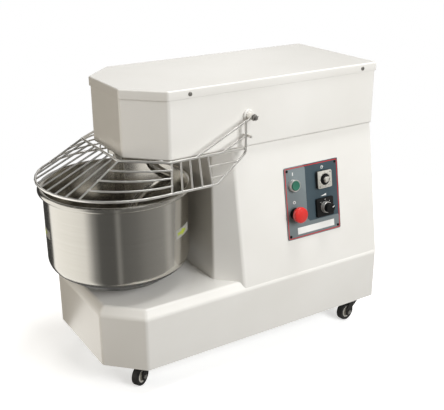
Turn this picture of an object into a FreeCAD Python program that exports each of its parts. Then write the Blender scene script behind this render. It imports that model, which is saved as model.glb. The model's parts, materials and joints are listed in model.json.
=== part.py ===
"""Floor-standing spiral dough mixer: parametric assembly, millimetres, +Z up, bowl towards -Y."""
import FreeCAD, Part
import math
import os
import Sketcher
from types import SimpleNamespace
from FreeCAD import Placement, Rotation, Vector

doc = FreeCAD.newDocument("spiral_mixer")
sheet = doc.addObject("Spreadsheet::Sheet", "sizes")

# Driving dimensions in millimetres, and degrees where the name says angle.
SIZES = {
    # casing: plinth on casters, leaning column, overhanging head with a lid
    "caster_height": 66, "base_width": 416, "base_length": 768, "base_rear": 410, "base_corner": 80,
    "base_side_height": 132, "shoulder_height": 20, "shoulder_inset": 13.5, "sheet_thick": 2.5,
    "floor_thick": 4, "seam_gap": 0.3,
    "column_foot_width": 411.4, "column_head_width": 300, "column_front_foot": -66,
    "column_front_head": -47, "column_corner_foot": 56, "column_corner_head": 37,
    "rear_lip": 16, "rear_panel_thick": 2, "vent_count": 6, "vent_width": 110, "vent_height": 5,
    "vent_pitch": 14, "vent_first": 40,
    "head_width": 316, "head_length": 668, "head_corner": 80, "head_height": 157,
    "overall_height": 700, "head_floor": 8, "cover_lip": 21, "cover_thick": 2,
    "cover_screw_back": 132, "cover_screw_ahead": 44, "cover_screw_drop": 12,
    "screw_radius": 3, "screw_head_radius": 5, "screw_head": 3, "screw_length": 12, "screw_clear": 0.1,
    # running fits
    "run_clear": 0.05, "belt_clear": 0.3,
    # bowl and its drive under the deck
    "bowl_axis": -242, "bowl_radius": 171, "bowl_wall": 2, "bowl_bottom": 253, "rim_gap": 20,
    "bowl_corner": 36, "bead_radius": 6.5, "bead_overlap": 1.5,
    "bowl_plate_radius": 125, "bowl_plate_thick": 16, "bowl_shaft_radius": 20,
    "bowl_housing_radius": 36, "bowl_housing_flange": 62, "bowl_housing_flange_thick": 9,
    "bowl_housing_depth": 60, "bowl_pulley_radius": 103, "bowl_belt_level": 120,
    # spiral hook and its spindle
    "hook_axis": -150, "hook_shaft_radius": 17.5, "hook_bar_radius": 12, "hook_sweep": 54,
    "hook_bottom": 275, "hook_turn_angle": 430, "hook_flange_radius": 29, "hook_flange_thick": 10,
    "hook_flange_drop": 29, "hook_housing_radius": 42, "hook_housing_flange": 64,
    "hook_housing_flange_thick": 10, "hook_housing_drop": 18, "hook_housing_rise": 40,
    "hook_housing_step": 4, "hook_housing_draft": 2,
    "hook_pulley_radius": 88, "hook_belt_rise": 79,
    # fixed dough breaker beside the hook
    "breaker_axis": -232, "breaker_radius": 12, "breaker_flange_radius": 24, "breaker_flange": 9,
    "breaker_bottom": 272, "breaker_fillet": 5,
    # layshaft between head and base, idler in the base, motor in the column
    "layshaft_axis": 40, "layshaft_radius": 15, "layshaft_bottom": 150, "layshaft_rise": 141,
    "bearing_radius": 32, "bearing_flange": 50, "bearing_flange_thick": 8, "bearing_height": 24,
    "bearing_draft": 3,
    "layshaft_small_radius": 36, "layshaft_big_radius": 108, "layshaft_base_radius": 21,
    "motor_belt_rise": 119, "base_belt_level": 172,
    "idler_axis": 190, "idler_stud_radius": 10, "idler_foot_radius": 30, "idler_foot": 8,
    "idler_big_radius": 104, "idler_small_radius": 22, "idler_end": 9,
    "motor_axis": 250, "motor_radius": 75, "motor_flange_radius": 80, "motor_flange": 12,
    "motor_length": 232, "motor_fan_radius": 68, "motor_fan": 34, "motor_shaft_radius": 11,
    "motor_pulley_radius": 36, "motor_shaft_grip": 46,
    "belt_height": 14, "belt_thick": 7, "pulley_flange": 4, "pulley_flange_rise": 5, "pulley_hub": 9,
    "pulley_web": 10, "pulley_rim": 10,
    # wire guard over the bowl, turning on two axles in the head's sides
    "guard_rod": 3, "guard_bar": 2.2, "hoop_gap": 20, "hoop_side": 176, "hoop_front_half": 102,
    "hoop_corner_back": 68, "hoop_rise": 4, "hoop_bend": 16, "ring_centre": -230, "ring_radius": 195,
    "ring_drop": 61, "ring_straight_end": -80, "pivot_y": 26.5, "pivot_rise": 75.5, "post_y": 9,
    "post_drop": 6, "side_bar_first": -185, "side_bar_pitch": 23, "side_bar_rake": 11,
    "stay_end_y": -124, "brace_end_y": -55, "brace_rise": 33, "stop_pin_reach": 15,
    "axle_radius": 5, "axle_inner": 128, "hub_radius": 8, "hub_length": 21, "bush_radius": 9,
    "bush_flange": 14, "bush_flange_thick": 4, "guard_gap": 0.3, "nut_radius": 7.5, "nut_length": 11,
    "nut_chamfer": 3, "corner_bar_angle": -52, "corner_arc_angle": -28,
    "cam_radius": 14, "cam_length": 10, "switch_width": 22, "switch_height": 46, "switch_depth": 24,
    # control plate and its devices on the leaning right side
    "panel_width": 168, "panel_height": 184, "panel_thick": 2, "panel_centre_y": 211,
    "panel_lower": 0.5, "panel_screw_inset": 9, "window_margin": 14,
    "device_left": -58, "device_right": 33, "device_top": 46, "device_bottom": -26,
    "bezel_radius": 15, "bezel_height": 11, "bezel_bore": 12, "button_radius": 11.6, "button_rise": 13,
    "button_floor": 4, "barrel_radius": 11, "barrel_length": 30, "stem_radius": 5, "button_travel": 3,
    "collar_radius": 14.5, "collar_height": 13, "mushroom_radius": 20, "mushroom_edge": 17.5,
    "mushroom_shoulder": 25, "mushroom_top": 31,
    "timer_side": 44, "timer_height": 12, "timer_dial_radius": 18, "timer_dial_depth": 2,
    "timer_back": 34, "timer_knob_radius": 11, "timer_knob_top": 22,
    "speed_width": 53, "speed_height": 48, "speed_thick": 6, "speed_back": 36, "speed_knob_radius": 15,
    "speed_knob_top": 29, "knob_stem": 3, "knob_gap": 0.4,
    # mains inlet at the rear
    "gland_z": 262, "gland_x": 90, "gland_radius": 12, "gland_reach": 16, "gland_bore": 4.5,
    "gland_thread": 8, "gland_depth": 12, "contactor_width": 90, "contactor_depth": 62,
    "contactor_height": 82, "contactor_z": 224,
    # casters
    "caster_front_inset": 63, "caster_front_back": 100, "caster_rear_inset": 34, "caster_rear_ahead": 50,
    "caster_plate": 48, "caster_plate_thick": 3, "wheel_radius": 25, "wheel_width": 18,
    "wheel_hub_radius": 12, "wheel_hub_width": 21, "wheel_bore": 4, "caster_trail": 21, "fork_inside": 22,
    "fork_thick": 3, "fork_eye": 10, "fork_crown": 9, "fork_crown_radius": 19, "kingpin_radius": 5,
    "axle_head_radius": 7, "axle_head": 4, "cheek_overlap": 4, "cheek_waist": 6,
    "yaw_angle_front_right": 30, "yaw_angle_front_left": 20, "yaw_angle_rear_right": 10,
    "yaw_angle_rear_left": -15,
}

CORNER_TRIM = 2 - math.sqrt(2)      # what a 45 degree corner loses when an outline shrinks by one
THROUGH = 2000                      # longer than the whole machine, for cuts that go right through


class Size:
    """A number together with the expression that keeps a property equal to it."""

    def __init__(self, value, text):
        self.value = value
        self.text = text

    def __add__(self, other):
        return Size(self.value + number(other), "(%s + %s)" % (self.text, words(other)))

    def __radd__(self, other):
        return self + other

    def __sub__(self, other):
        return Size(self.value - number(other), "(%s - %s)" % (self.text, words(other)))

    def __rsub__(self, other):
        return Size(number(other) - self.value, "(%s - %s)" % (words(other), self.text))

    def __mul__(self, other):
        return Size(self.value * number(other), "(%s * %s)" % (self.text, words(other)))

    def __rmul__(self, other):
        return self * other

    def __truediv__(self, other):
        return Size(self.value / number(other), "(%s / %s)" % (self.text, words(other)))

    def __neg__(self):
        return Size(-self.value, "(0 - %s)" % self.text)


def number(item):
    return item.value if isinstance(item, Size) else item


def words(item):
    return item.text if isinstance(item, Size) else "(%r)" % item


def fill_sheet():
    """One row for each driving dimension: its name, and its number under that alias."""
    named = {}
    for row, (alias, value) in enumerate(SIZES.items(), 1):
        sheet.set("A%d" % row, alias)
        sheet.set("B%d" % row, str(value))
        sheet.setAlias("B%d" % row, alias)
        named[alias] = Size(value, "sizes." + alias)
    doc.recompute()
    return SimpleNamespace(**named)


dim = fill_sheet()
parts = []


def keep(item, label):
    item.Label = label
    parts.append(item)
    return item


def new_body(label):
    body = doc.addObject("PartDesign::Body", label)
    body.Label = label
    return body


def new_sketch(body, role, height=0):
    """A sketch on one of the body's own origin planes, raised along that plane's normal."""
    sketch = body.newObject("Sketcher::SketchObject", body.Name + "_sketch")
    plane = [item for item in body.Origin.OriginFeatures if item.Role == role][0]
    sketch.AttachmentSupport = [(plane, "")]
    sketch.MapMode = "FlatFace"
    if isinstance(height, Size):
        sketch.setExpression("AttachmentOffset.Base.z", height.text)
    return sketch


def hold_point(sketch, geometry, point, x, y):
    """Fix one point of a sketch at a place worked out from the sheet."""
    for kind, axis, place in (("DistanceX", -2, x), ("DistanceY", -1, y)):
        if isinstance(place, Size):
            index = sketch.addConstraint(Sketcher.Constraint(kind, -1, 1, geometry, point, place.value))
            sketch.setExpression("Constraints[%d]" % index, place.text)
        elif place == 0:
            sketch.addConstraint(Sketcher.Constraint("PointOnObject", geometry, point, axis))
        else:
            sketch.addConstraint(Sketcher.Constraint(kind, -1, 1, geometry, point, place))


def polygon(sketch, corners):
    first = sketch.GeometryCount
    count = len(corners)
    points = [Vector(number(x), number(y), 0) for x, y in corners]
    for index in range(count):
        sketch.addGeometry(Part.LineSegment(points[index], points[(index + 1) % count]))
    for index, (x, y) in enumerate(corners):
        following = first + (index + 1) % count
        sketch.addConstraint(Sketcher.Constraint("Coincident", first + index, 2, following, 1))
        hold_point(sketch, first + index, 1, x, y)


def circle(sketch, x, y, radius):
    centre = Vector(number(x), number(y), 0)
    geometry = sketch.addGeometry(Part.Circle(centre, Vector(0, 0, 1), number(radius)))
    hold_point(sketch, geometry, 3, x, y)
    index = sketch.addConstraint(Sketcher.Constraint("Radius", geometry, number(radius)))
    sketch.setExpression("Constraints[%d]" % index, words(radius))


def rectangle(sketch, low_x, low_y, high_x, high_y):
    polygon(sketch, [(low_x, low_y), (high_x, low_y), (high_x, high_y), (low_x, high_y)])


def pad(body, sketch, length, reverse=False, symmetric=False):
    feature = body.newObject("PartDesign::Pad", body.Name + "_pad")
    feature.Profile = sketch
    feature.setExpression("Length", words(length))
    feature.Reversed = reverse
    feature.Midplane = symmetric
    return feature


def pocket(body, sketch, length=THROUGH, reverse=False, symmetric=False):
    feature = body.newObject("PartDesign::Pocket", body.Name + "_pocket")
    feature.Profile = sketch
    feature.setExpression("Length", words(length))
    feature.Reversed = reverse
    feature.Midplane = symmetric
    return feature


def loft(body, kind, lower, upper):
    feature = body.newObject("PartDesign::" + kind, body.Name + "_loft")
    feature.Profile = lower
    feature.Sections = [upper]
    feature.Ruled = True
    return feature


def revolve(body, sketch):
    feature = body.newObject("PartDesign::Revolution", body.Name + "_turn")
    feature.Profile = sketch
    feature.ReferenceAxis = (sketch, ["V_Axis"])
    feature.Angle = 360
    return feature


def place(item, x=0, y=0, z=0):
    for axis, value in (("x", x), ("y", y), ("z", z)):
        if isinstance(value, Size):
            item.setExpression("Placement.Base." + axis, value.text)
    return item


def turned_body(label, profile):
    """A body of revolution about its own Z axis from (radius, height) corners."""
    body = new_body(label)
    sketch = new_sketch(body, "XZ_Plane")
    polygon(sketch, profile)
    revolve(body, sketch)
    return body


def turned(label, profile, y=0):
    return keep(place(turned_body(label, profile), y=y), label)


def fillet_circle(body, base, radius, height, size):
    """Round the circular edges of the given radius at the given height."""
    doc.recompute()
    names = []
    for index, edge in enumerate(base.Shape.Edges, 1):
        round_edge = isinstance(edge.Curve, Part.Circle) and abs(edge.Curve.Radius - number(radius)) < 0.01
        if round_edge and abs(edge.Curve.Center.z - number(height)) < 0.01:
            names.append("Edge%d" % index)
    feature = body.newObject("PartDesign::Fillet", body.Name + "_fillet")
    feature.Base = (base, names)
    feature.setExpression("Radius", words(size))
    return feature


def cut(label, base, tool):
    feature = doc.addObject("Part::Cut", label)
    feature.Base = base
    feature.Tool = tool
    return feature


def fixed_shape(label, shape):
    """A node whose shape is worked out here from the sheet's numbers."""
    item = doc.addObject("Part::Feature", label)
    item.Shape = shape
    return keep(item, label)


# Heights and outlines that several pieces share
side_top = dim.caster_height + dim.base_side_height
deck_top = side_top + dim.shoulder_height
floor_top = dim.caster_height + dim.floor_thick
head_half = dim.head_width / 2
head_front = dim.base_rear - dim.head_length
head_bottom = dim.overall_height - dim.head_height
head_floor_top = head_bottom + dim.head_floor
head_wall_top = dim.overall_height - dim.cover_thick
hook_flange_top = head_bottom - dim.hook_flange_drop
hook_belt_level = head_bottom + dim.hook_belt_rise
motor_belt_level = head_bottom + dim.motor_belt_rise
ring_level = head_bottom - dim.ring_drop
bowl_rim = ring_level - dim.rim_gap
pivot_z = head_bottom + dim.pivot_rise
panel_centre_z = (deck_top + head_bottom) / 2 - dim.panel_lower
base_half = dim.base_width / 2
base_front = dim.base_rear - dim.base_length
foot_half = dim.column_foot_width / 2
column_lean = (dim.column_foot_width - dim.column_head_width) / (head_bottom - side_top) / 2


def column_half(height):
    """Half the column's width at a height: its sides lean inwards."""
    return foot_half - column_lean * (height - side_top)


def shrink(shape, by, rear_by):
    half, front, rear, corner = shape
    return half - by, front + by, rear - rear_by, corner - by * CORNER_TRIM


def outline(shape):
    """Plan of a casing piece: square at the rear, with its two front corners cut off."""
    half, front, rear, corner = shape
    right = [(half - corner, front), (half, front + corner), (half, rear)]
    return right + [(-x, y) for x, y in reversed(right)]


base_plan = (base_half, base_front, dim.base_rear, dim.base_corner)
deck_plan = shrink(base_plan, dim.shoulder_inset, 0)
head_plan = (head_half, head_front, dim.base_rear, dim.head_corner)
column_foot_plan = (foot_half, dim.column_front_foot, dim.base_rear, dim.column_corner_foot)
column_head_plan = (dim.column_head_width / 2, dim.column_front_head, dim.base_rear, dim.column_corner_head)


def plan_sketch(body, plan, height):
    sketch = new_sketch(body, "XY_Plane", height)
    polygon(sketch, outline(plan))
    return sketch


# Casing
def base_block(label):
    """The plinth's outer form: upright sides, then a sloping shoulder up to the deck."""
    body = new_body(label)
    pad(body, plan_sketch(body, base_plan, dim.caster_height), dim.base_side_height)
    shoulder = plan_sketch(body, base_plan, side_top), plan_sketch(body, deck_plan, deck_top)
    loft(body, "AdditiveLoft", *shoulder)
    return body


def base_shell():
    body = base_block("base_shell")
    wall = dim.sheet_thick
    inside = shrink(base_plan, wall, wall)
    under_deck = shrink(deck_plan, wall, wall)
    pocket(body, plan_sketch(body, inside, dim.caster_height), dim.base_side_height, reverse=True)
    hollow = plan_sketch(body, inside, side_top), plan_sketch(body, under_deck, deck_top - wall)
    loft(body, "SubtractiveLoft", *hollow)
    holes = new_sketch(body, "XY_Plane", deck_top + 1)
    circle(holes, 0, dim.bowl_axis, dim.bowl_housing_radius + dim.seam_gap)
    circle(holes, 0, dim.layshaft_axis, dim.bearing_radius)
    pocket(body, holes, dim.shoulder_height)
    return keep(body, "base_shell")


def bottom_plate():
    body = new_body("bottom_plate")
    gap = dim.sheet_thick + dim.seam_gap
    pad(body, plan_sketch(body, shrink(base_plan, gap, gap), dim.caster_height), dim.floor_thick)
    return keep(body, "bottom_plate")


def column_shell(base_form):
    """Folded sheet: three leaning sides with cut corners, and lips that carry the rear panel."""
    body = new_body("column_folded")
    wall = dim.sheet_thick
    ends = ((column_foot_plan, side_top), (column_head_plan, head_bottom))
    loft(body, "AdditiveLoft", *[plan_sketch(body, plan, height) for plan, height in ends])
    inner_rear = dim.rear_panel_thick + wall
    loft(body, "SubtractiveLoft",
         *[plan_sketch(body, shrink(plan, wall, inner_rear), height) for plan, height in ends])
    for edge, depth in ((dim.rear_lip, inner_rear + 1), (wall, dim.rear_panel_thick)):
        sketches = []
        for plan, height in ends:
            sketch = new_sketch(body, "XY_Plane", height)
            rectangle(sketch, edge - plan[0], dim.base_rear - depth, plan[0] - edge, dim.base_rear + 1)
            sketches.append(sketch)
        loft(body, "SubtractiveLoft", *sketches)
    holes = new_sketch(body, "XZ_Plane")
    for x, z in rear_screw_places():
        circle(holes, x, z, dim.screw_radius + dim.screw_clear)
    pocket(body, holes)
    window = doc.addObject("Part::Box", "control_window")
    margin = dim.window_margin
    window.setExpression("Length", (dim.panel_width - 2 * margin).text)
    window.setExpression("Width", (dim.panel_height - 2 * margin).text)
    window.setExpression("Height", (6 * wall).text)
    corner = (margin - dim.panel_width / 2, margin - dim.panel_height / 2, -3 * wall)
    window.setExpression("Placement", panel_placement(*corner))
    trimmed = cut("column_on_base", body, base_form)
    return keep(cut("column_shell", trimmed, window), "column_shell")


def rear_screw_places():
    """Rear panel screws, in pairs on the column's lips."""
    places = []
    for height in (deck_top + dim.rear_lip, head_bottom - dim.rear_lip):
        x = column_half(height) - (dim.rear_lip + dim.sheet_thick) / 2
        places += [(x, height), (-x, height)]
    return places


def rear_panel():
    body = new_body("rear_panel")
    edge = dim.sheet_thick + dim.seam_gap
    low, high = deck_top + dim.seam_gap, head_bottom - dim.seam_gap
    low_half, high_half = column_half(low) - edge, column_half(high) - edge
    sheet_plane = new_sketch(body, "XZ_Plane")
    polygon(sheet_plane, [(-low_half, low), (low_half, low), (high_half, high), (-high_half, high)])
    pad(body, sheet_plane, dim.rear_panel_thick)
    holes = new_sketch(body, "XZ_Plane")
    for index in range(int(number(dim.vent_count))):
        bottom = deck_top + dim.vent_first + dim.vent_pitch * index
        rectangle(holes, -dim.vent_width / 2, bottom, dim.vent_width / 2, bottom + dim.vent_height)
    circle(holes, dim.gland_x, dim.gland_z, dim.gland_thread + dim.screw_clear)
    for x, z in rear_screw_places():
        circle(holes, x, z, dim.screw_radius + dim.screw_clear)
    pocket(body, holes, symmetric=True)
    return keep(place(body, y=dim.base_rear), "rear_panel")


def cover_screw_places():
    height = dim.overall_height - dim.cover_screw_drop
    return [(head_front + dim.cover_screw_back, height), (dim.base_rear - dim.cover_screw_ahead, height)]


def head_shell():
    """Open tray: a thick floor that carries the bearings and motor, and thin folded walls."""
    body = new_body("head_shell")
    wall = dim.sheet_thick
    pad(body, plan_sketch(body, head_plan, head_bottom), head_wall_top - head_bottom)
    pocket(body, plan_sketch(body, shrink(head_plan, wall, wall), head_wall_top),
           head_wall_top - head_floor_top)
    floor_holes = new_sketch(body, "XY_Plane", head_floor_top + 1)
    circle(floor_holes, 0, dim.hook_axis, dim.hook_housing_radius + dim.seam_gap)
    circle(floor_holes, 0, dim.layshaft_axis, dim.layshaft_radius + dim.sheet_thick)
    circle(floor_holes, 0, dim.motor_axis, dim.motor_shaft_radius + dim.sheet_thick)
    pocket(body, floor_holes, dim.head_floor * 2)
    side_holes = new_sketch(body, "YZ_Plane")
    circle(side_holes, dim.pivot_y, pivot_z, dim.bush_radius)
    for y, z in cover_screw_places():
        circle(side_holes, y, z, dim.screw_radius + dim.screw_clear)
    pocket(body, side_holes, symmetric=True)
    return keep(body, "head_shell")


def top_cover():
    """Lid with a lip that hangs over the top of the head's walls."""
    body = new_body("top_cover")
    inner, outer = -dim.seam_gap, -dim.seam_gap - dim.cover_thick
    lip_bottom = dim.overall_height - dim.cover_lip
    pad(body, plan_sketch(body, shrink(head_plan, outer, outer), lip_bottom), dim.cover_lip)
    pocket(body, plan_sketch(body, shrink(head_plan, inner, inner), lip_bottom),
           dim.cover_lip - dim.cover_thick, reverse=True)
    side_holes = new_sketch(body, "YZ_Plane")
    for y, z in cover_screw_places():
        circle(side_holes, y, z, dim.screw_radius + dim.screw_clear)
    pocket(body, side_holes, symmetric=True)
    return keep(body, "top_cover")


def cover_screws():
    """The same button-head screw holds the lid's sides and the rear panel."""
    screw = turned_body("button_screw", [
        (0, -dim.screw_length), (dim.screw_radius, -dim.screw_length), (dim.screw_radius, 0),
        (dim.screw_head_radius, 0), (dim.screw_head_radius * 0.6, dim.screw_head), (0, dim.screw_head)])
    doc.recompute()
    seat = number(head_half + dim.seam_gap + dim.cover_thick)
    places = []
    for y, z in cover_screw_places():
        for side in (1, -1):
            turn = Rotation(Vector(0, 1, 0), 90 * side)
            places.append(Placement(Vector(side * seat, number(y), number(z)), turn))
    for x, z in rear_screw_places():
        turn = Rotation(Vector(1, 0, 0), -90)
        places.append(Placement(Vector(number(x), number(dim.base_rear), number(z)), turn))
    shapes = []
    for spot in places:
        shape = screw.Shape.copy()
        shape.Placement = spot
        shapes.append(shape)
    return fixed_shape("cover_screws", Part.makeCompound(shapes))


def panel_placement(u=0, v=0, out=0):
    """Placement, as an expression, of a point given along, up and out of the leaning right side."""
    x = column_half(panel_centre_z)
    spot = vector_text(x, dim.panel_centre_y, panel_centre_z)
    lean = placement_text(spot, vector_text(0, 1, 0), "-atan(%s)" % column_lean.text)
    facing = placement_text(vector_text(0, 0, 0), vector_text(1, 1, 1), "120")
    shift = placement_text(vector_text(u, v, out), vector_text(0, 0, 1), "0")
    return " * ".join((lean, facing, shift))


def vector_text(x, y, z):
    return "create(<<vector>>; %s; %s; %s)" % (words(x), words(y), words(z))


def placement_text(spot, axis, angle):
    return "create(<<placement>>; %s; create(<<rotation>>; %s; %s))" % (spot, axis, angle)


# Control plate and devices, each drawn with its seat on the plate at height zero
DEVICES = {
    "start": (dim.device_left, dim.device_top), "stop": (dim.device_left, dim.device_bottom),
    "timer": (dim.device_right, dim.device_top), "speed": (dim.device_right, dim.device_bottom),
}


def panel_item(body, label, spot=None):
    u, v = DEVICES[spot] if spot else (0, 0)
    body.setExpression("Placement", panel_placement(u, v, dim.panel_thick if spot else 0))
    return keep(body, label)


def panel_corners():
    x = dim.panel_width / 2 - dim.panel_screw_inset
    y = dim.panel_height / 2 - dim.panel_screw_inset
    return [(x, y), (-x, y), (-x, -y), (x, -y)]


def panel_plate():
    body = new_body("panel_plate")
    half_width, half_height = dim.panel_width / 2, dim.panel_height / 2
    face = new_sketch(body, "XY_Plane")
    rectangle(face, -half_width, -half_height, half_width, half_height)
    for spot in DEVICES.values():
        circle(face, *spot, dim.barrel_radius + dim.screw_clear)
    for x, y in panel_corners():
        circle(face, x, y, dim.screw_radius / 2 + dim.screw_clear)
    pad(body, face, dim.panel_thick)
    return panel_item(body, "panel_plate")


def panel_screws():
    body = new_body("panel_screws")
    for radius, length, down in ((dim.screw_head_radius * 0.8, dim.screw_head * 0.6, False),
                                 (dim.screw_radius / 2, dim.panel_thick, True)):
        sketch = new_sketch(body, "XY_Plane", dim.panel_thick)
        for x, y in panel_corners():
            circle(sketch, x, y, radius)
        pad(body, sketch, length, reverse=down)
    return panel_item(body, "panel_screws")


def barrel_profile(front_radius, front_height, bore, recess=None):
    """Bezel or collar in front of the plate, threaded barrel behind it, and a through bore."""
    back = -dim.panel_thick - dim.barrel_length
    profile = [(bore, back), (dim.barrel_radius, back), (dim.barrel_radius, 0), (front_radius, 0),
               (front_radius, front_height)]
    if recess:
        return profile + [(recess, front_height), (recess, dim.sheet_thick / 2), (bore, dim.sheet_thick / 2)]
    return profile + [(bore, front_height)]


def push_buttons():
    bore = dim.stem_radius + dim.run_clear
    stem_end = -dim.panel_thick - dim.barrel_length
    bezel = barrel_profile(dim.bezel_radius, dim.bezel_height, bore, dim.bezel_bore)
    panel_item(turned_body("start_bezel", bezel), "start_bezel", "start")
    panel_item(turned_body("start_button", [
        (0, stem_end), (dim.stem_radius, stem_end), (dim.stem_radius, dim.button_floor + 1),
        (dim.button_radius, dim.button_floor + 1), (dim.button_radius, dim.button_rise - 1),
        (dim.button_radius - 1, dim.button_rise), (0, dim.button_rise)]), "start_button", "start")
    collar = barrel_profile(dim.collar_radius, dim.collar_height, bore)
    panel_item(turned_body("stop_collar", collar), "stop_collar", "stop")
    panel_item(turned_body("stop_button", [
        (0, stem_end), (dim.stem_radius, stem_end), (dim.stem_radius, dim.mushroom_edge),
        (dim.mushroom_radius * 0.9, dim.mushroom_edge), (dim.mushroom_radius, dim.mushroom_edge + 3),
        (dim.mushroom_radius, dim.mushroom_shoulder), (dim.mushroom_radius * 0.75, dim.mushroom_top - 1),
        (0, dim.mushroom_top)]), "stop_button", "stop")


def device_block(label, spot, width, height, thick, back, dial=None):
    """Square device: a front plate on the panel, a neck through it and a block behind."""
    body = new_body(label)
    front = new_sketch(body, "XY_Plane")
    rectangle(front, -width / 2, -height / 2, width / 2, height / 2)
    pad(body, front, thick)
    neck = new_sketch(body, "XY_Plane")
    circle(neck, 0, 0, dim.barrel_radius)
    pad(body, neck, dim.panel_thick + back, reverse=True)
    if dial:
        recess = new_sketch(body, "XY_Plane", thick)
        circle(recess, 0, 0, dial)
        circle(recess, 0, 0, dim.timer_knob_radius + 2)
        pocket(body, recess, dim.timer_dial_depth)
    bore = new_sketch(body, "XY_Plane", thick)
    circle(bore, 0, 0, dim.knob_stem + dim.run_clear)
    pocket(body, bore, thick + back / 2)
    return panel_item(body, label, spot)


def pointer_knob(label, spot, seat, radius, top, back):
    """Round knob with a raised pointer bar across its face and a stem in the device."""
    body = turned_body(label, [
        (0, -back / 3), (dim.knob_stem, -back / 3), (dim.knob_stem, seat + dim.knob_gap),
        (radius, seat + dim.knob_gap), (radius * 0.92, top - 1.5), (radius * 0.85, top), (0, top)])
    grip = new_sketch(body, "XY_Plane", top)
    half = radius / 6
    rectangle(grip, -half, -radius * 0.8, half, radius * 0.8)
    pad(body, grip, radius / 6)
    return panel_item(body, label, spot)


def rotary_devices():
    device_block("timer_body", "timer", dim.timer_side, dim.timer_side, dim.timer_height, dim.timer_back,
                 dim.timer_dial_radius)
    pointer_knob("timer_knob", "timer", dim.timer_height, dim.timer_knob_radius, dim.timer_knob_top,
                 dim.timer_back)
    device_block("speed_plate", "speed", dim.speed_width, dim.speed_height, dim.speed_thick, dim.speed_back)
    pointer_knob("speed_knob", "speed", dim.speed_thick, dim.speed_knob_radius, dim.speed_knob_top,
                 dim.speed_back)


# Bowl and the parts that turn it
plate_bottom = dim.bowl_bottom - dim.bowl_plate_thick
housing_top = deck_top + dim.bowl_housing_flange_thick


def bowl():
    """Straight-sided spun bowl with a round foot corner and a rolled bead at the rim."""
    body = new_body("bowl")
    radius, wall, bottom = dim.bowl_radius, dim.bowl_wall, dim.bowl_bottom
    section = new_sketch(body, "XZ_Plane")
    polygon(section, [(0, bottom), (radius, bottom), (radius, bowl_rim), (radius - wall, bowl_rim),
                      (radius - wall, bottom + wall), (0, bottom + wall)])
    spun = revolve(body, section)
    outer = fillet_circle(body, spun, radius, bottom, dim.bowl_corner)
    fillet_circle(body, outer, radius - wall, bottom + wall, dim.bowl_corner - wall)
    bead = new_sketch(body, "XZ_Plane")
    circle(bead, radius + dim.bead_radius - dim.bead_overlap, bowl_rim - dim.bead_radius + wall / 2,
           dim.bead_radius)
    revolve(body, bead)
    return keep(place(body, y=dim.bowl_axis), "bowl")


def bowl_drive():
    shaft, clear = dim.bowl_shaft_radius, dim.run_clear
    low = dim.bowl_belt_level - dim.belt_height
    turned("bowl_shaft", [
        (0, low), (shaft, low), (shaft, plate_bottom - dim.bowl_plate_thick / 2),
        (shaft * 2, plate_bottom), (dim.bowl_plate_radius, plate_bottom),
        (dim.bowl_plate_radius, dim.bowl_bottom), (0, dim.bowl_bottom)], dim.bowl_axis)
    bottom = deck_top - dim.bowl_housing_depth
    turned("bowl_bearing", [
        (shaft + clear, bottom), (dim.bowl_housing_radius, bottom), (dim.bowl_housing_radius, deck_top),
        (dim.bowl_housing_flange, deck_top), (dim.bowl_housing_flange, housing_top - 2),
        (dim.bowl_housing_flange - 2, housing_top), (shaft + clear, housing_top)], dim.bowl_axis)
    pulley("bowl_pulley", dim.bowl_axis, dim.bowl_pulley_radius, shaft, dim.bowl_belt_level)


def pulley_profile(radius, bore, level, hub_above=0):
    """Flanged flat-belt pulley: rim with two flanges, thin web and a hub on the shaft."""
    half = dim.belt_height / 2 + 1
    edge = half + dim.pulley_flange
    rim = radius + dim.pulley_flange_rise
    hub = bore + dim.pulley_hub
    inner = bore + dim.run_clear / 2
    groove = [(rim, level - edge), (rim, level - half), (radius, level - half), (radius, level + half),
              (rim, level + half), (rim, level + edge)]
    if number(radius) - number(dim.pulley_rim) < number(hub) + number(dim.pulley_rim):
        return [(inner, level - edge)] + groove + [(inner, level + edge)]
    inside = radius - dim.pulley_rim
    web = dim.pulley_web / 2
    lower = [(inner, level - edge), (hub, level - edge), (hub, level - web), (inside, level - web),
             (inside, level - edge)]
    upper = [(inside, level + edge), (inside, level + web), (hub, level + web),
             (hub, level + edge + hub_above), (inner, level + edge + hub_above)]
    return lower + groove + upper


def pulley(label, axis, radius, bore, level):
    return turned(label, pulley_profile(radius, bore, level), axis)


def belt(label, first_axis, first_radius, second_axis, second_radius, level):
    """Closed flat belt: two wraps joined by the common outer tangents of its pulleys."""
    body = new_body(label)
    bottom = level - dim.belt_height / 2
    for offset, make in ((dim.belt_clear + dim.belt_thick, pad), (dim.belt_clear, pocket)):
        sketch = new_sketch(body, "XY_Plane", bottom)
        loop_outline(sketch, first_axis, first_radius + offset, second_axis, second_radius + offset)
        make(body, sketch, dim.belt_height, reverse=(make is pocket))
    return keep(body, label)


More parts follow.
